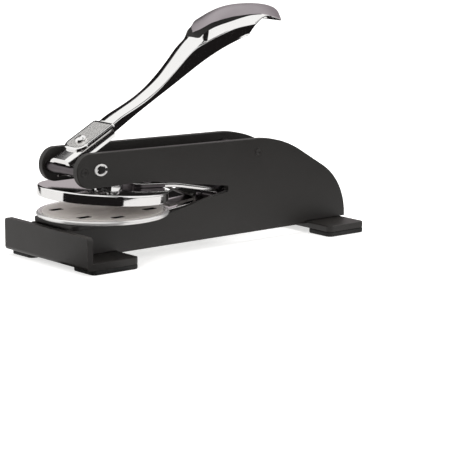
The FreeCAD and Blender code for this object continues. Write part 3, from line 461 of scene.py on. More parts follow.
def finish_node(node, material, edge_width, segments=2):
    """Gives a kept solid its finish and rounds its sharp edges; its facets are joined first."""
    piece = nodes[node]
    piece.data.materials.clear()
    piece.data.materials.append(material)
    weld = piece.modifiers.new("join_facets", "WELD")
    weld.merge_threshold = 1e-6
    bevel = piece.modifiers.new("broken_edges", "BEVEL")
    bevel.limit_method = "ANGLE"
    bevel.angle_limit = math.radians(30.0)
    bevel.width = edge_width
    bevel.segments = segments
    bevel.harden_normals = True


strap_half = 30.0
strap_round = 2.5
strap_edge = 0.4
pad_edge = 0.5
foot_height = 2.1
strap_top = 4.9
foot_width = 15.2
rear_strap_span = (130.2, 151.0)
front_pad_span = (2.8, 26.4)
finish_node("front_bracket", black_enamel, edge_width=0.0004, segments=3)
work = bmesh.new()
strap_outline = rounded_box((-strap_half, rear_strap_span[0]), (strap_half, rear_strap_span[1]), strap_round)
add_sheet(work, strap_outline, foot_height, strap_top, strap_edge, bench)
fit_piece("strap_rear", work, "rear_strap", "frame", "black_enamel", black_enamel)

foot_rubber = grained_material(
    "foot_rubber", metallic=0.0, bump=0.00006, fine=1500.0, broad=90.0,
    colors=((0.008, 0.008, 0.0082), (0.015, 0.0145, 0.014)), roughness=(0.62, 0.78),
    
    IOR=1.5)
for row, (near_end, far_end) in (("front", front_pad_span), ("rear", rear_strap_span)):
    for side, low, high in (("left", -strap_half, foot_width - strap_half),
                            ("right", strap_half - foot_width, strap_half)):
        work = bmesh.new()
        pad_outline = rounded_box((low, near_end), (high, far_end), strap_round)
        add_sheet(work, pad_outline, 0.0, foot_height, pad_edge, bench)
        fit_piece(f"pad_{row}_{side}", work, f"rubber_foot_{row}_{side}", "frame", "foot_rubber", foot_rubber)

# ---------------------------------------------------------------- cross rods, pivot pin and clips
# Turned steel rods hold the plates apart; their necks are riveted over and enamelled with the plates.
# The pivot pin is ground steel, held at each end by a stamped clip that is snapped into a groove.


def add_turned(work, profile, centre, axis, place, sides=64, closed=False):
    """Adds a turned form, (along, radius) pairs spun round an axis through a centre; returns its faces."""
    before = set(work.verts)
    rings = []
    for length, radius in profile:
        turns = [2 * math.pi * step / sides for step in range(sides)] if radius > 0 else [0.0]
        points = [(radius * math.cos(turn), radius * math.sin(turn), length) for turn in turns]
        rings.append([work.verts.new(point) for point in points])
    pairs = list(zip(rings, rings[1:])) + ([(rings[-1], rings[0])] if closed else [])
    faces = []
    for low, high in pairs:
        for step in range(sides):
            corners = (low, step), (low, step + 1), (high, step + 1), (high, step)
            verts = [ring[turn % len(ring)] for ring, turn in corners]
            faces.append(work.faces.new(list(dict.fromkeys(verts))))
    bmesh.ops.recalc_face_normals(work, faces=faces)
    turn = Vector((0, 0, 1)).rotation_difference(Vector(axis)).to_matrix().to_4x4()
    settle(work, before, place @ Matrix.Translation(Vector(centre)) @ turn)
    return faces


def dome(radius, rise, start, steps=8):
    """Profile points of a round head, from its rim at the start level to its middle."""
    turns = [math.pi / 2 * step / steps for step in range(steps + 1)]
    points = [(start + rise * math.sin(turn), radius * math.cos(turn)) for turn in turns]
    return points[:-1] + [(start + rise, 0.0)]


def both_ends(one_end):
    """A whole profile from the points of its right end: the left end's, then the right end's."""
    return [(-length, radius) for length, radius in one_end] + one_end[::-1]


ground_steel = grained_material(
    "ground_steel", metallic=1.0, bump=0.00002, fine=3200.0, broad=160.0,
    colors=((0.50, 0.485, 0.48), (0.30, 0.285, 0.275)), roughness=(0.24, 0.36))
clip_steel = grained_material(
    "clip_steel", metallic=0.2, bump=0.00001, fine=2600.0, broad=300.0,
    colors=((0.95, 0.94, 0.93), (0.80, 0.79, 0.78)), roughness=(0.22, 0.30))

# Painted shade for the parts deep in the throat, which only the edge of the light reaches: a dark metal
# stands for their shade and dark reflections.
throat_shade = grained_material(
    "throat_shade", metallic=1.0, bump=0.00001, fine=2600.0, broad=120.0,
    colors=((0.15, 0.132, 0.14), (0.10, 0.09, 0.096)), roughness=(0.28, 0.36))
rivet_dish = 1.1
rivet_depth = 0.5
for rod, rod_place, radius in (("nose_rod", nose_rod_place, 2.2), ("rear_rod", rear_rod_place, 3.0)):
    profile = both_ends([
        (plate_outer - rivet_depth, 0.0), (plate_outer - 0.2 * rivet_depth, rivet_dish),
        (plate_outer, rivet_dish + 0.1), (plate_outer, rivet_radius), (plate_inner, rivet_radius),
        (plate_inner, radius - 0.2), (plate_inner - 0.2, radius),
    ])
    work = bmesh.new()
    # Between the plates the rods are painted dark as shade; their riveted ends take the enamel.
    for face in add_turned(work, profile, (0, *rod_place), (1, 0, 0), bench):
        face.material_index = int(abs(face.calc_center_median().x) * 1000 < plate_inner - 0.05)
    fit_piece(f"{rod}_riveted", work, rod, "frame", "ground_steel", black_enamel, throat_shade)

groove_radius = 1.5
groove_ends = (14.05, 14.78)
pin_end = 15.3
profile = both_ends([
    (pin_end, 0.0), (pin_end, 1.1), (pin_end - 0.15, 1.45), (groove_ends[1], 1.6),
    (groove_ends[1], groove_radius), (groove_ends[0], groove_radius), (groove_ends[0], pin_radius),
])
# A dark, dull finish that stands for shade: painted shade at the pin's ends, in the die's pockets and in
# grooves.
painted_shade = grained_material(
    "painted_shade", metallic=0.0, bump=0.00001, fine=2600.0, broad=120.0,
    colors=((0.016, 0.015, 0.015), (0.010, 0.009, 0.009)), roughness=(0.45, 0.55), IOR=1.3)
work = bmesh.new()
# The pin's ends outside the plates are painted dark as shade.
for face in add_turned(work, profile, (0, *pivot_place), (1, 0, 0), bench):
    face.material_index = int(abs(face.calc_center_median().x) * 1000 > plate_outer)
fit_piece("pivot_shaft", work, "pivot_pin", "frame", "ground_steel", ground_steel, painted_shade)

clip_reach = (3.15, 2.5)
clip_opening = 0.72
clip_lug = 0.24
lug_turns = (75.0, 180.0, 285.0)
lug_reach = 20.0
mouth_half = 16.0
clip_steps = 60
outer_edge = []
inner_edge = []
for step in range(clip_steps + 1):
    turn = mouth_half + (360.0 - 2 * mouth_half) * step / clip_steps
    to_lug = min(abs(turn - lug_turn) for lug_turn in lug_turns)
    opening = clip_opening - clip_lug * max(0.0, 1 - (to_lug / lug_reach) ** 2)
    angle = math.radians(turn)
    swing = Vector((clip_reach[0] * math.cos(angle), clip_reach[1] * math.sin(angle)))
    outer_edge.append(Vector(pivot_place) + swing)
    inner_edge.append(Vector(pivot_place) + opening * swing)
clip_near = groove_ends[0] + 0.01
clip_sheet = 0.7
clip_edge = 0.12
for side, low in (("left", -clip_near - clip_sheet), ("right", clip_near)):
    work = bmesh.new()
    add_sheet(work, outer_edge + inner_edge[::-1], low, low + clip_sheet, clip_edge, bench @ lengthways)
    fit_piece(f"clip_{side}", work, f"pivot_clip_{side}", "frame", "clip_steel", clip_steel)

# ---------------------------------------------------------------- bed and lower holder
# The bed is a black plate on the lower jaws. The lower holder is a turned and chromed tray with a
# rounded bead round its rim, screwed on from below.
bed_levels = (16.2, 18.1)
bed_half = 15.4
bed_ends = (4.0, 44.0)
bed_edge = 0.3
arm_half = 8.0
bed_slot_front = 22.0
die_back = 29.4
bed_slot_half = arm_half + 0.2
bed_outline = rounded_outline([
    (-bed_half, bed_ends[0], 3.0), (bed_half, bed_ends[0], 3.0), (bed_half, bed_ends[1], 0.6),
    (bed_slot_half, bed_ends[1]), (bed_slot_half, bed_slot_front), (-bed_slot_half, bed_slot_front),
    (-bed_slot_half, bed_ends[1]), (-bed_half, bed_ends[1], 0.6),
])
work = bmesh.new()
add_sheet(work, bed_outline, *bed_levels, bed_edge, bench)
fit_piece("bed", work, "bed_plate", "frame", "black_enamel", black_enamel)
finish_node("bed_screws", ground_steel, edge_width=0.0002)

bright_chrome = grained_material(
    "bright_chrome", metallic=1.0, bump=0.000003, fine=900.0, broad=60.0,
    colors=((0.94, 0.935, 0.93), (0.86, 0.85, 0.845)), roughness=(0.05, 0.10))
holder_bottom = bed_levels[1]
tray_radius = 25.5
tray_floor = 19.1
bead_radius = 0.98
bead_middle = 27.0
bead_level = 19.13
holder_chrome = grained_material(
    "holder_chrome", metallic=0.6, bump=0.000005, fine=1200.0, broad=60.0,
    colors=((0.92, 0.91, 0.90), (0.84, 0.83, 0.82)), roughness=(0.16, 0.24))
bead_turns = [math.radians(turn) for turn in range(150, -91, -15)]
bead = [(bead_level + bead_radius * math.sin(turn), bead_middle + bead_radius * math.cos(turn))
        for turn in bead_turns]
tray_profile = [
    (tray_floor, 0.0), (tray_floor, tray_radius), *bead, (holder_bottom, 26.5), (holder_bottom, 0.0),
]
work = bmesh.new()
add_turned(work, tray_profile, (0, die_back, 0), (0, 0, 1), bench, sides=160)
fit_piece("tray", work, "lower_holder", "frame", "bright_chrome", holder_chrome)

# ---------------------------------------------------------------- lower die
# A steel disc with a fine turned face, and six pockets near its edge that key it in the press; their walls
# and floors are painted dark as shade. The turning marks are rings round its centre, so its highlight spreads
# like a fan.
die_radius = 25.4
die_levels = (tray_floor, 20.2)
die_edge = 0.06
slot_floor = 19.5
slot_ring = 19.5
slot_turns = (-127, -59, -17, 53, 121, 163)
slot_size = (3.4, 6.2)
slot_round = 0.7
die_colors = ((0.94, 0.90, 0.87), (0.82, 0.78, 0.75))
die_gloss = (0.30, 0.42)
die_steel, tree, shader, relief = plain_material("die_steel", metallic=0.15, bump=0.00001, Anisotropic=0.55)
texture = use_group(tree, grain, Fine=1400.0, Broad=70.0)
place = add_node(tree, "ShaderNodeTexCoord").outputs["Object"]
die_middle = bench @ Vector((0, die_back, die_levels[1]))
from_middle = distance(tree, place, die_middle)
ring_noise = add_node(
    tree, "ShaderNodeTexNoise", noise_dimensions="1D", W=from_middle, Scale=9000.0, Detail=2.0)
turning = combine(tree, "ADD", ring_noise.outputs["Fac"], texture.outputs["Height"])
tree.links.new(turning, relief.inputs["Height"])
tree.links.new(mix_colors(tree, texture.outputs["Patches"], *die_colors), shader.inputs["Base Color"])
gloss = ramp_between(tree, ring_noise.outputs["Fac"], *noise_span, *die_gloss)
tree.links.new(gloss, shader.inputs["Roughness"])
tangent = add_node(tree, "ShaderNodeTangent", direction_type="RADIAL", axis="Z")
tree.links.new(tangent.outputs["Tangent"], shader.inputs["Tangent"])

slots = []
for turn in slot_turns:
    angle = math.radians(turn)
    middle = (slot_ring * math.cos(angle), die_back + slot_ring * math.sin(angle))
    low, high = ([place + way * size / 2 for place, size in zip(middle, slot_size)] for way in (-1, 1))
    slots.append(rounded_box(low, high, slot_round, steps=4))
work = bmesh.new()
add_sheet(work, round_hole(0, die_back, die_radius, 160), slot_floor, die_levels[1], die_edge, bench, slots)
base_radius = die_radius - 0.1
base_top = slot_floor + 0.01
base_profile = [(die_levels[0], 0.0), (die_levels[0], base_radius), (base_top, base_radius), (base_top, 0.0)]
add_turned(work, base_profile, (0, die_back, 0), (0, 0, 1), bench, sides=160)
# The pockets' walls and floors, and the base seen through them, are painted dark as shade.
slot_reach = (die_radius - 1.0) / 1000
for face in work.faces:
    middle = face.calc_center_median() - bench @ Vector((0, die_back, 0))
    in_slot = middle.z * 1000 < die_levels[1] - die_edge / 2 and middle.xy.length < slot_reach
    face.material_index = int(in_slot)
fit_piece("die_lower", work, "lower_die", "frame", "die_steel", die_steel, painted_shade)

# ---------------------------------------------------------------- lower arm and hinge
# The lower arm is a chromed spring-steel strip from the bed back to the hinge, where it is rolled into two
# knuckles round the hinge pin; the knuckles are painted dark as shade. A bent leaf on it pushes the upper
# half open.


def add_loft(work, rings, place):
    """Adds a closed skin through rings with the same number of points; returns its sides ring by ring."""
    verts = [[work.verts.new(point) for point in ring] for ring in rings]
    strips = []
    for low, high in zip(verts, verts[1:]):
        around = len(low)
        strips.append([
            work.faces.new((low[step], low[(step + 1) % around], high[(step + 1) % around], high[step]))
            for step in range(around)
        ])
    caps = [work.faces.new(verts[0][::-1]), work.faces.new(verts[-1])]
    bmesh.ops.recalc_face_normals(work, faces=[face for strip in strips for face in strip] + caps)
    bmesh.ops.transform(work, matrix=place, verts=[vert for ring in verts for vert in ring])
    return strips


def between(rows, place):
    """Straight-line values at a place in a table whose rows start with their places."""
    if place <= rows[0][0]:
        return rows[0][1:]
    for low, high in zip(rows, rows[1:]):
        if place <= high[0]:
            share = (place - low[0]) / (high[0] - low[0])
            return [a + (b - a) * share for a, b in zip(low[1:], high[1:])]
    return rows[-1][1:]


def strip_ring(rows, back, half, middle=0.0):
    """A ring round an arm's strip, its edges rounded; rows hold the levels of its underside."""
    low = between(rows, back)[0] + arm_edge
    high = low + arm_thickness - 2 * arm_edge
    ring = []
    for across, level, first in ((1, high, 0), (-1, high, 90), (-1, low, 180), (1, low, 270)):
        for turn in (first, first + 30, first + 60, first + 90):
            angle = math.radians(turn)
            ring.append((middle + across * (half - arm_edge) + arm_edge * math.cos(angle), back,
                         level + arm_edge * math.sin(angle)))
    return ring


def knuckle(half):
    """Profile points of a rolled knuckle."""
    return both_ends([(half, hinge_radius), (half, knuckle_radius - 0.3), (half - 0.3, knuckle_radius)])


arm_edge = 0.4
arm_thickness = 1.8
hinge_place = (88.0, 22.4)
hinge_radius = 1.5
knuckle_radius = 3.0
knuckle_half = 3.9
lower_arm_rows = [(22.3, bed_levels[0]), (54.0, bed_levels[0]), (57.0, 16.25), (60.0, 16.42), (88.0, 19.55)]
work = bmesh.new()
strip_places = [22.3, 40.0, 52.0, 54.0, 55.5, 57.0, 58.5, 60.0, 66.0, 75.0, 84.0]
add_loft(work, [strip_ring(lower_arm_rows, back, arm_half) for back in strip_places], bench)
tongue_half = (arm_half - knuckle_half) / 2 - 0.1
tongue_places = (83.9, 86.0, hinge_place[0])
for side in (-1, 1):
    middle = side * (arm_half + knuckle_half) / 2
    add_loft(work, [strip_ring(lower_arm_rows, back, tongue_half, middle) for back in tongue_places], bench)
    add_turned(work, knuckle(tongue_half), (middle, *hinge_place), (1, 0, 0), bench, sides=48, closed=True)
# Faces from just before the knuckles on are painted dark as shade.
knuckle_start = (bench @ Vector((0, hinge_place[0] - knuckle_radius - 0.5, 0))).y
for face in work.faces:
    face.material_index = int(face.calc_center_median().y > knuckle_start)
fit_piece("arm_lower", work, "lower_arm", "frame", "bright_chrome", bright_chrome, throat_shade)
# The hinge pin is painted dark as shade.
work = bmesh.new()
pin_half = arm_half + 0.5
profile = both_ends([(pin_half, 0), (pin_half, 1.2), (pin_half - 0.3, hinge_radius)])
add_turned(work, profile, (0, *hinge_place), (1, 0, 0), bench, sides=48)
fit_piece("hinge_pin", work, "holder_hinge_pin", "frame", "ground_steel", throat_shade)
spring_steel = grained_material(
    "spring_steel", metallic=1.0, bump=0.00002, fine=2600.0, broad=220.0,
    colors=((0.15, 0.14, 0.135), (0.09, 0.085, 0.08)), roughness=(0.30, 0.42))
leaf_half = 3.5
leaf_edge = 0.08
leaf_front = 62.0
leaf_outline = rounded_outline([
    (leaf_front, 18.4), (78.0, 20.21, 0.6), (leaf_front, 26.85), (leaf_front, 26.2), (75.63, 20.55),
    (leaf_front, 19.0),
])
work = bmesh.new()
add_sheet(work, leaf_outline, -leaf_half, leaf_half, leaf_edge, bench @ lengthways)
leaf = finished_mesh("leaf", work, 35.0)
leaf.data.materials.append(spring_steel)
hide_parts("holder_spring")
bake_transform(leaf)

# ---------------------------------------------------------------- upper cup and boss
# The upper half swings on the hinge pin and stands open at rest. Its cup is spun and chromed, with a
# skirt round the moulded counter die and a stepped button in the middle that the lever presses.
open_turn = math.radians(-4.6)
hinge = bench @ Matrix.Translation((0, *hinge_place)) @ Matrix.Rotation(open_turn, 4, "X")
cup_middle = die_back - hinge_place[0]
cup_levels = (-1.8, 2.6)
cup_radius = 27.6
cup_sheet = 1.6
skirt_inner = cup_radius - cup_sheet
cup_round = 0.75
corner_turns = [math.radians(turn) for turn in range(90, -1, -15)]
cup_corner = [(cup_levels[1] - cup_round + cup_round * math.sin(turn), cup_radius - cup_round
               + cup_round * math.cos(turn)) for turn in corner_turns]
cup_profile = [
    (cup_levels[1], 0.0), *cup_corner, (cup_levels[0] + 0.4, cup_radius),
    (cup_levels[0] + 0.12, cup_radius - 0.12), (cup_levels[0], cup_radius - 0.4),
    (cup_levels[0], skirt_inner + 0.3), (cup_levels[0] + 0.3, skirt_inner),
    (cup_levels[1] - cup_sheet, skirt_inner), (cup_levels[1] - cup_sheet, 0.0),
]
work = bmesh.new()
add_turned(work, cup_profile, (0, cup_middle, 0), (0, 0, 1), hinge, sides=160)
fit_piece("cup", work, "upper_cup", "upper_holder", "bright_chrome", bright_chrome)

counter_resin = grained_material(
    "counter_resin", metallic=0.0, bump=0.00002, fine=1800.0, broad=120.0,
    colors=((0.84, 0.82, 0.79), (0.74, 0.72, 0.69)), roughness=(0.38, 0.50), IOR=1.5)
counter_levels = (-2.0, cup_levels[1] - cup_sheet - 0.05)
counter_radius = skirt_inner - 0.15
counter_profile = [
    (counter_levels[0], 0.0), (counter_levels[0], 24.6), (counter_levels[0] + 0.15, 25.0),
    (counter_levels[0] + 0.4, counter_radius), (counter_levels[1], counter_radius), (counter_levels[1], 0.0),
]
work = bmesh.new()
add_turned(work, counter_profile, (0, cup_middle, 0), (0, 0, 1), hinge, sides=160)
fit_piece("die_upper", work, "upper_die", "upper_holder", "counter_die", counter_resin)

boss_middle = 31.0 - hinge_place[0]
boss_top = 5.238
boss_foot = cup_levels[1]
boss_profile = [
    (boss_foot - 0.1, 0.0), (boss_foot, 7.0), (boss_foot + 0.95, 7.0), (boss_foot + 1.13, 6.93),
    (boss_foot + 1.2, 6.75), (boss_foot + 1.2, 5.75), (boss_foot + 1.35, 5.75), (boss_foot + 1.35, 6.0),
    (boss_top - 0.5, 6.0), (boss_top - 0.15, 5.85), (boss_top, 5.5), (boss_top, 0.0),
]
work = bmesh.new()
add_turned(work, boss_profile, (0, boss_middle, 0), (0, 0, 1), hinge, sides=96)
fit_piece("boss", work, "pressure_boss", "upper_holder", "bright_chrome", bright_chrome)

# ---------------------------------------------------------------- upper arm and rivets
# A chromed strip from the cup back to the hinge, rolled into the middle knuckle, with a chromed top over the
# cup and bright edges behind it; the rest of it and the knuckle are painted dark as shade. Two round rivets
# hold its rounded front end to the cup, their heads painted dark as shade too.
arm_front = 41.0 - hinge_place[0]
upper_arm_rows = [
    (arm_front, cup_levels[1]), (-29.5, cup_levels[1]), (-26.5, 2.52), (-22.5, 2.13), (0.0, -0.9),
]
work = bmesh.new()
rings = []
front_round = 4.0
strip_places = [arm_front + front_round * share for share in (0.0, 0.03, 0.12, 0.3, 0.6, 1.0)]
for back in strip_places + [-38.0, -32.0, -29.5, -28.0, -26.5, -24.5, -22.5, -16.0, -9.0, -4.0]:
    from_round = max(0.0, arm_front + front_round - back)
    pull = front_round - math.sqrt(max(0.0, front_round ** 2 - from_round ** 2))
    rings.append(strip_ring(upper_arm_rows, back, arm_half - pull))
add_loft(work, rings, hinge)
tongue_half = knuckle_half - 0.05
add_loft(work, [strip_ring(upper_arm_rows, back, tongue_half) for back in (-4.1, -2.0, 0.0)], hinge)
add_turned(work, knuckle(tongue_half), (0, 0, 0), (1, 0, 0), hinge, sides=48, closed=True)
cup_back = (bench @ Vector((0, die_back + cup_radius, 0))).y
# Only the top over the cup and the side edges behind it stay chrome; all other faces are painted dark as
# shade.
for face in work.faces:
    back = face.calc_center_median().y
    unshaded = face.normal.z > 0.3 if back < cup_back else abs(face.normal.x) > 0.3 and back < knuckle_start
    face.material_index = int(not unshaded)
fit_piece("arm_upper", work, "upper_arm", "upper_holder", "bright_chrome", bright_chrome, throat_shade)
arm_top = cup_levels[1] + arm_thickness
head_edge = 2.2
rivet_backs = (-43.5, -36.0)
work = bmesh.new()
for back in rivet_backs:
    head = [(3.0, 0.0), (3.0, 1.3), (arm_top, 1.3), (arm_top, head_edge), (arm_top + 0.1, head_edge),
            *dome(head_edge - 0.05, 0.62, arm_top + 0.13)]
    add_turned(work, head, (0, back, 0), (0, 0, 1), hinge, sides=48)
# The rivet heads are painted dark as shade.
fit_piece("rivet_heads", work, "arm_rivets", "upper_holder", "ground_steel", throat_shade)

# ---------------------------------------------------------------- lever channel and its pins
# The lever's root is folded from chromed steel: a sloping web with rounded shoulders, and two cheeks
# that carry the pivot bush and, at their ends, the hardened presser pin. A coiled wire round the bush
# lifts the lever: its long end lies under the nose rod and its upright end turns with the web.
pivot = bench @ Matrix.Translation((0, *pivot_place))
channel_half = 7.8
channel_wall = 1.5
shoulder = 4.4
shoulder_steps = 10
channel_front = -10.6
channel_rear = 12.2
web_front = 3.8
web_slope = math.radians(28.0)
cheek_bottom = 1.8
cheek_line = 4.9
cheek_end = 1.4
cheek_inner = 6.31
cheek_outer = 7.79
cheek_edge = 0.12
flange_line = 4.1
web_wall = channel_wall / math.cos(web_slope)


def web_top(back):
    """Height of the web's top face at a place along the lever."""
    return web_front + (back - channel_front) * math.tan(web_slope)


def channel_ring(back, line):
    """A ring round the channel's section: over the web and down to its lower edges, then back inside."""
    top = web_top(back)
    low = max(cheek_bottom, top - line) if back < cheek_end else top - line
    sides = []
    for half, crown, bend in ((channel_half, top, shoulder),
                              (channel_half - channel_wall, top - web_wall, shoulder - channel_wall)):
        end = math.asin(min(1.0, max(0.0, (low - (crown - bend)) / bend)))
        steps = range(shoulder_steps + 1)
        turns = [math.pi / 2 + (end - math.pi / 2) * step / shoulder_steps for step in steps]
        across, up = half - bend, crown - bend
        points = [(across + bend * math.cos(turn), up + bend * math.sin(turn)) for turn in turns]
        points.append((points[-1][0], min(low, points[-1][1]) - 0.001))
        sides.append(points)
    outer, inner = sides
    half_ring = outer + inner[::-1]
    ring = half_ring + [(-across, up) for across, up in half_ring[::-1]]
    return [(across, back, up) for across, up in ring]


work = bmesh.new()
rings = [channel_ring(back, cheek_line)
         for back in (channel_front, -9.0, -7.5, -6.1, -5.1, -3.0, 0.0, cheek_end - 0.01)]
rings += [channel_ring(back, flange_line) for back in (cheek_end + 0.01, 5.0, 8.5, channel_rear)]
add_loft(work, rings, pivot)
cheek_outline = rounded_outline([
    (-6.0, cheek_bottom), (-4.5, cheek_bottom), (-4.5, -4.5, 2.5), (7.9, -7.0, 2.3), (14.8, -7.0, 2.2),
    (14.8, -2.4, 2.2), (2.4, 5.4, 0.5), (1.2, 5.64),
])
for low, high in ((-cheek_outer, -cheek_inner), (cheek_inner, cheek_outer)):
    add_sheet(work, cheek_outline, low, high, cheek_edge, pivot @ lengthways)
fit_piece("channel", work, "lever_channel", "lever", "bright_chrome", bright_chrome, angle=30.0)
finish_node("pivot_bush", ground_steel, edge_width=0.0002)
finish_node("presser_pin", ground_steel, edge_width=0.0002)
coil_radius = 3.65
coil_half = 2.7625
coil_turns = 4.25
coil_steps = 32
wire_radius = 0.45
wire_sides = 16
frame_leg = 9.6
lever_leg = 9.14
coil_path = [Vector((-coil_half, -frame_leg, -coil_radius))]
for step in range(int(coil_turns * coil_steps) + 1):
    turn = 2 * math.pi * step / coil_steps
    coil_path.append(Vector((
        -coil_half + 2 * coil_half * turn / (2 * math.pi * coil_turns),
        coil_radius * math.sin(turn), -coil_radius * math.cos(turn))))
leg_path = [coil_path[-1], coil_path[-1] + Vector((0, 0, lever_leg))]
for name, body, path in (("spring_coil", "frame", coil_path), ("spring_leg", "lever", leg_path)):
    work = bmesh.new()
    rings = []
    for index, point in enumerate(path):
        ahead = (path[min(index + 1, len(path) - 1)] - path[max(index - 1, 0)]).normalized()
        up = ahead.cross(Vector((1, 0, 0))).normalized()
        across = up.cross(ahead)
        rings.append([
            point + wire_radius * (math.cos(turn) * across + math.sin(turn) * up)
            for turn in (2 * math.pi * side / wire_sides for side in range(wire_sides))
        ])
    add_loft(work, rings, pivot)
    fit_piece(name, work, "return_spring", body, "spring_steel", spring_steel)

# ---------------------------------------------------------------- handle grip and bar
# One chromed casting: a slim solid bar that swells into a hollow palm grip with a curled tip. The palm's back
# is a satin dome with a fine groove round it, painted dark as shade; the rest is polished.
satin_chrome = grained_material(
    "satin_chrome", metallic=1.0, bump=0.00001, fine=2400.0, broad=45.0,
    colors=((0.42, 0.38, 0.40), (0.36, 0.325, 0.345)), roughness=(0.34, 0.42))
crest_rows = [
    # level of the crest
    (31.0, 57.5), (33.0, 58.68), (36.0, 60.31), (40.0, 62.23), (44.0, 64.1), (50.0, 67.2), (56.0, 71.0),
    (61.0, 74.87), (67.0, 80.4), (70.0, 83.44), (73.0, 86.55), (75.0, 88.62), (78.0, 91.6), (81.0, 94.31),
    (84.0, 96.6), (89.0, 99.4), (94.0, 101.05), (98.0, 101.75), (101.5, 102.03), (104.0, 102.1),
    (107.0, 102.07), (110.0, 101.93), (113.0, 101.68), (117.0, 101.1), (121.0, 99.97), (123.0, 98.95),
    (123.6, 98.45), (124.0, 97.6),
]
reach_rows = [
    # half width
    (31.0, 5.2), (36.0, 5.13), (44.0, 5.1), (50.0, 5.04), (56.0, 5.0), (61.0, 5.06), (67.0, 5.4),
    (70.0, 5.71), (73.0, 6.13), (75.0, 6.46), (78.0, 7.0), (81.0, 7.55), (84.0, 8.03), (89.0, 8.6),
    (94.0, 8.93), (98.0, 9.08), (101.5, 9.16), (104.0, 9.2), (110.0, 9.12), (113.0, 8.91), (117.0, 8.15),
    (121.0, 6.5), (123.0, 5.0), (123.6, 4.2), (124.0, 3.0),
]
drop_rows = [
    # how far the wall's top lies below the crest
    (31.0, 1.1), (36.0, 1.05), (40.0, 1.2), (44.0, 1.35), (50.0, 1.5), (56.0, 1.5), (61.0, 1.4),
    (67.0, 1.6), (70.0, 1.8), (73.0, 2.3), (75.0, 3.0), (78.0, 4.4), (80.4, 5.6), (84.0, 7.0),
    (89.8, 8.05), (98.0, 8.25), (104.0, 8.0), (107.0, 6.6), (109.0, 5.3), (110.5, 4.55), (113.0, 4.75),
    (117.0, 5.15), (121.0, 5.3), (123.0, 4.3), (124.0, 2.2),
]
base_rows = [
    # level of the lower edge
    (31.0, 52.2), (36.0, 55.15), (40.0, 57.51), (44.0, 59.8), (50.0, 63.1), (56.0, 66.3), (61.0, 69.01),
    (67.0, 72.5), (70.0, 74.35), (73.0, 76.25), (75.0, 77.54), (78.0, 79.4), (81.0, 81.14), (84.0, 82.73),
    (89.0, 85.1), (94.0, 87.09), (98.0, 88.43), (101.8, 89.5),
]
hook_rows = [
    # level of the lower edge from the hook on
    (101.8, 89.5), (101.95, 90.15), (104.9, 93.2), (107.0, 94.9), (109.0, 96.1), (110.5, 96.65),
    (112.0, 96.65), (114.0, 96.2), (117.0, 95.35), (121.0, 94.05), (123.0, 93.9), (123.6, 94.1),
    (124.0, 94.9),
]
rim_rows = [
    # half width and fall of the dome's rim, then of the groove's outer edge
    (75.9, 0.3, 0.0, 0.4, 0.0), (76.2, 0.3, 0.0, 2.0, 0.2), (76.8, 0.3, 0.0, 3.9, 0.6),
    (77.6, 0.32, 0.0, 5.0, 1.1), (78.3, 0.9, 0.03, 5.4, 1.35), (79.0, 2.4, 0.1, 5.8, 1.55),
    (80.0, 3.7, 0.15, 6.3, 1.75), (81.3, 4.8, 0.3, 6.75, 2.05), (83.0, 5.7, 0.6, 7.1, 2.6),
    (86.0, 6.7, 1.6, 7.5, 3.6), (90.0, 7.25, 2.75, 7.9, 4.6), (94.0, 7.5, 3.4, 8.15, 5.0),
    (98.0, 7.75, 3.85, 8.3, 4.85), (104.0, 8.0, 4.0, 8.4, 4.4), (109.0, 8.2, 4.1, 8.5, 4.3),
    (110.5, 8.3, 4.2, 8.6, 4.35), (113.0, 8.2, 4.4, 8.45, 4.5), (117.0, 7.5, 4.85, 7.75, 4.95),
    (121.0, 5.9, 4.95, 6.15, 5.05), (123.0, 4.5, 3.95, 4.7, 4.0), (123.6, 3.7, 3.1, 3.9, 3.15),
    (124.0, 2.5, 1.9, 2.7, 1.95),
]
hook_start = 101.9
dome_start = 77.7
groove_start = 75.95
groove_end = 109.0
groove_depth = 0.3
swell_rows = [(75.0, 0.0), (79.0, 1.0)]
groove_rows = [(groove_start, 0.0), (76.3, groove_depth), (104.0, groove_depth), (groove_end, 0.0)]
dome_columns = 10
groove_columns = dome_columns + 3
grip_wall = 1.6
roof_wall = 1.7
edge_round = 0.55
flare = 0.7
hollow_rows = [(67.0, 0.0), (72.0, 1.0), (114.0, 1.0), (118.0, 0.0)]
flare_rows = [(86.0, 0.0), (93.0, 0.6), (100.5, 1.0), (102.0, 0.0)]


def curved(rows, place):
    """Smooth values at a place in a table whose rows start with their places."""
    places = [row[0] for row in rows]
    index = min(max(bisect.bisect_right(places, place) - 1, 0), len(rows) - 2)
    start, end = rows[index], rows[index + 1]
    span = end[0] - start[0]
    share = min(1.0, max(0.0, (place - start[0]) / span))
    values = []
    for column in range(1, len(start)):
        slopes = []
        for middle in (index, index + 1):
            low, high = rows[max(middle - 1, 0)], rows[min(middle + 1, len(rows) - 1)]
            before = (rows[middle][column] - low[column]) / max(rows[middle][0] - low[0], 1e-9)
            after = (high[column] - rows[middle][column]) / max(high[0] - rows[middle][0], 1e-9)
            if middle == 0:
                before = after
            elif high is rows[middle]:
                after = before
            slopes.append(0.0 if before * after <= 0 else 2 * before * after / (before + after))
        cube, square = share ** 3, share ** 2
        level = (2 * cube - 3 * square + 1) * start[column] + (3 * square - 2 * cube) * end[column]
        lean = (cube - 2 * square + share) * slopes[0] + (cube - square) * slopes[1]
        values.append(level + span * lean)
    return values


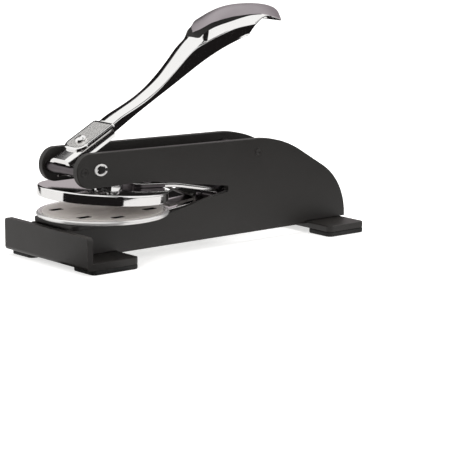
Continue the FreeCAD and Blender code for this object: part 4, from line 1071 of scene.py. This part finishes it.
def handle_ring(back):
    """A ring round the handle at one place: dome, groove, band, wall, lower edge and the hollow inside."""
    crest, reach, drop = (curved(rows, back)[0] for rows in (crest_rows, reach_rows, drop_rows))
    base = curved(base_rows, back)[0] if back < hook_start else between(hook_rows, back)[0]
    rim, rim_drop, shore, shore_drop = curved(rim_rows, back)
    hollow, lip = between(hollow_rows, back)[0], flare * between(flare_rows, back)[0]
    swell, depth = between(swell_rows, back)[0], between(groove_rows, back)[0]
    shore_drop += (drop * (shore / reach) ** 2 - shore_drop) * (1 - swell)
    sunk = depth if back < dome_start else 0.0
    shares = [step / dome_columns for step in range(dome_columns + 1)]
    points = [(rim * share, crest - rim_drop * share ** 2.3 - sunk) for share in shares]
    groove = shore - rim
    points += [(rim + 0.15 * groove, crest - rim_drop - 0.1 * (shore_drop - rim_drop) - depth),
               (shore - 0.15 * groove, crest - shore_drop + 0.15 * (shore_drop - rim_drop) - depth)]
    edge = min(edge_round, 0.45 * (reach - shore))
    for step in range(7):
        share = step / 6
        across = shore + (reach - edge - shore) * share
        arch = drop * (across / reach) ** 2
        slope = shore_drop + (drop - shore_drop) * share ** 1.1
        points.append((across, crest - arch * (1 - swell) - slope * swell))
    last = points[-1]
    wall_top = max(crest - drop - edge, base + 0.5)
    for step in range(1, 4):
        turn = math.pi / 2 * step / 4
        fall = (wall_top - last[1]) * (1 - math.cos(turn))
        points.append((last[0] + edge * math.sin(turn), last[1] + fall))
    points.append((reach, wall_top))
    chamfer = min(0.25, 0.3 * (wall_top - base))
    lip_top = base + chamfer + 0.9 * lip
    points += [(reach, (wall_top + lip_top) / 2), (reach, lip_top), (reach + lip, base + chamfer),
               (reach + lip - 0.25 * chamfer, base + 0.35 * chamfer), (reach + lip - chamfer - 0.02, base)]
    inner = reach - grip_wall
    roof = crest - rim_drop * swell - roof_wall - drop * (1 - swell)
    solid = [(inner * share, base) for share in (0.97, 0.9, 0.7, 0.5, 0.3, 0.15, 0.0)]
    ceiling = crest - roof_wall
    shell = [(inner, base), (inner, ceiling - drop), (inner - 0.8, roof - 0.6),
             (0.7 * inner, roof + 0.3 * rim_drop * swell - 0.4), (0.45 * inner, ceiling - 0.25 * rim_drop),
             (0.2 * inner, ceiling - 0.05 * rim_drop), (0.0, ceiling)]
    for (across, low), (reached, high) in zip(solid, shell):
        points.append((across + (reached - across) * hollow, low + (max(base, high) - low) * hollow))
    ring = points + [(-across, up) for across, up in points[-2:0:-1]]
    return [(across, back, up) for across, up in ring]


places = [31.0 + 1.45 * step for step in range(30)]
places += [74.4, 75.2, 75.7, 75.9, 76.0, 76.2, 76.5, 76.9, 77.4, 77.6, 77.8, 78.1]
places += [78.5, 79.0, 79.6, 80.2, 80.8, 81.5, 82.3, 83.3, 84.4]
places += [86.0 + 1.5 * step for step in range(11)]
places += [101.7, 101.95, 103.0, 104.2, 104.9, 106.0, 107.5, 109.0, 110.5, 112.0, 113.5, 115.0]
places += [117.0, 119.0, 120.5, 121.8, 122.7, 123.3, 123.7, 124.0]
work = bmesh.new()
strips = add_loft(work, [handle_ring(back) for back in places], bench)
# The dome's faces take the satin finish; the groove's faces are painted dark as shade.
for back, strip in zip(places, strips):
    around = len(strip)
    for column, face in enumerate(strip):
        from_top = min(column, around - 1 - column)
        if back > dome_start and from_top < dome_columns:
            face.material_index = 1
        elif groove_start < back < groove_end and from_top < groove_columns:
            face.material_index = 2
fit_piece(
    "grip", work, "handle", "lever", "bright_chrome", bright_chrome, satin_chrome, painted_shade, angle=40.0)

# ---------------------------------------------------------------- collar and screw
# The casting's flat root is seated on the web. Its edge is a polished bevel with a fine groove inside it,
# painted dark as shade, and its field is left as cast and plated. A round-headed socket screw holds it.
collar_level = 49.336
collar = bench @ Matrix.Translation((0, pivot_place[0], collar_level)) @ Matrix.Rotation(web_slope, 4, "X")
collar_half = 7.2
collar_rounds = (4.7, 1.5)
collar_ends = (-5.55, 14.72)
collar_top = 1.236
collar_steps = [
    # inset from the outline and level above the web: side, bevel, groove and field
    (0.0, 0.02), (0.0, 0.72), (0.1, 0.92), (0.45, 1.19), (0.9, collar_top), (1.0, 1.02), (1.25, 1.02),
    (1.35, 1.21),
]
groove_strips = slice(4, 6)
cast_chrome = grained_material(
    "cast_chrome", metallic=1.0, bump=0.00006, fine=1500.0, broad=800.0,
    colors=((0.98, 0.97, 0.95), (0.70, 0.68, 0.67)), roughness=(0.20, 0.34))
work = bmesh.new()
rings = []
for inset, level in collar_steps:
    half, front, rear = collar_half - inset, collar_ends[0] + inset, collar_ends[1] - inset
    front_round, rear_round = collar_rounds[0] - inset, max(collar_rounds[1] - inset, 0.3)
    outline = rounded_outline([
        (-half, front, front_round), (half, front, front_round),
        (half, rear, rear_round), (-half, rear, rear_round),
    ], steps=12)
    rings.append([(*point, level) for point in outline])
strips = add_loft(work, rings, collar)
# The groove inside the bevel is painted dark as shade.
for strip in strips[groove_strips]:
    for face in strip:
        face.material_index = 2
work.faces.ensure_lookup_table()
field = work.faces[-1]
field.material_index = 1
fit_piece(
    "collar", work, "handle", "lever", "bright_chrome", bright_chrome, cast_chrome, painted_shade, angle=25.0)

screw_along = 0.793
screw_seat = collar_top
shank_radius = 1.35
shank_end = -3.0
head_radius = 2.5
head_rise = 1.6
head_sides = 48
socket_radius = 1.15
socket_depth = 1.0
around = [2 * math.pi * step / head_sides for step in range(head_sides)]
head_rings = [(shank_radius, shank_end), (shank_radius, screw_seat), (head_radius - 0.15, screw_seat),
              (head_radius, screw_seat + 0.15)]
head_rings += [(head_radius * math.cos(turn) ** 0.8, screw_seat + 0.2 + (head_rise - 0.2) * math.sin(turn))
               for turn in (math.radians(part) for part in (5, 15, 27, 39, 50, 60))]
rings = [[(radius * math.cos(turn), screw_along + radius * math.sin(turn), level) for turn in around]
         for radius, level in head_rings]
head_top = screw_seat + head_rise
hex_half = math.pi / 6
for share, level in ((1.0, head_top), (0.97, head_top - 0.1), (0.95, head_top - socket_depth)):
    ring = []
    for turn in around:
        to_flat = (turn + hex_half) % (2 * hex_half) - hex_half
        radius = share * socket_radius * math.cos(hex_half) / math.cos(to_flat)
        ring.append((radius * math.cos(turn), screw_along + radius * math.sin(turn), level))
    rings.append(ring)
work = bmesh.new()
add_loft(work, rings, collar)
fit_piece("collar_screw", work, "handle_screw", "lever", "bright_chrome", bright_chrome)
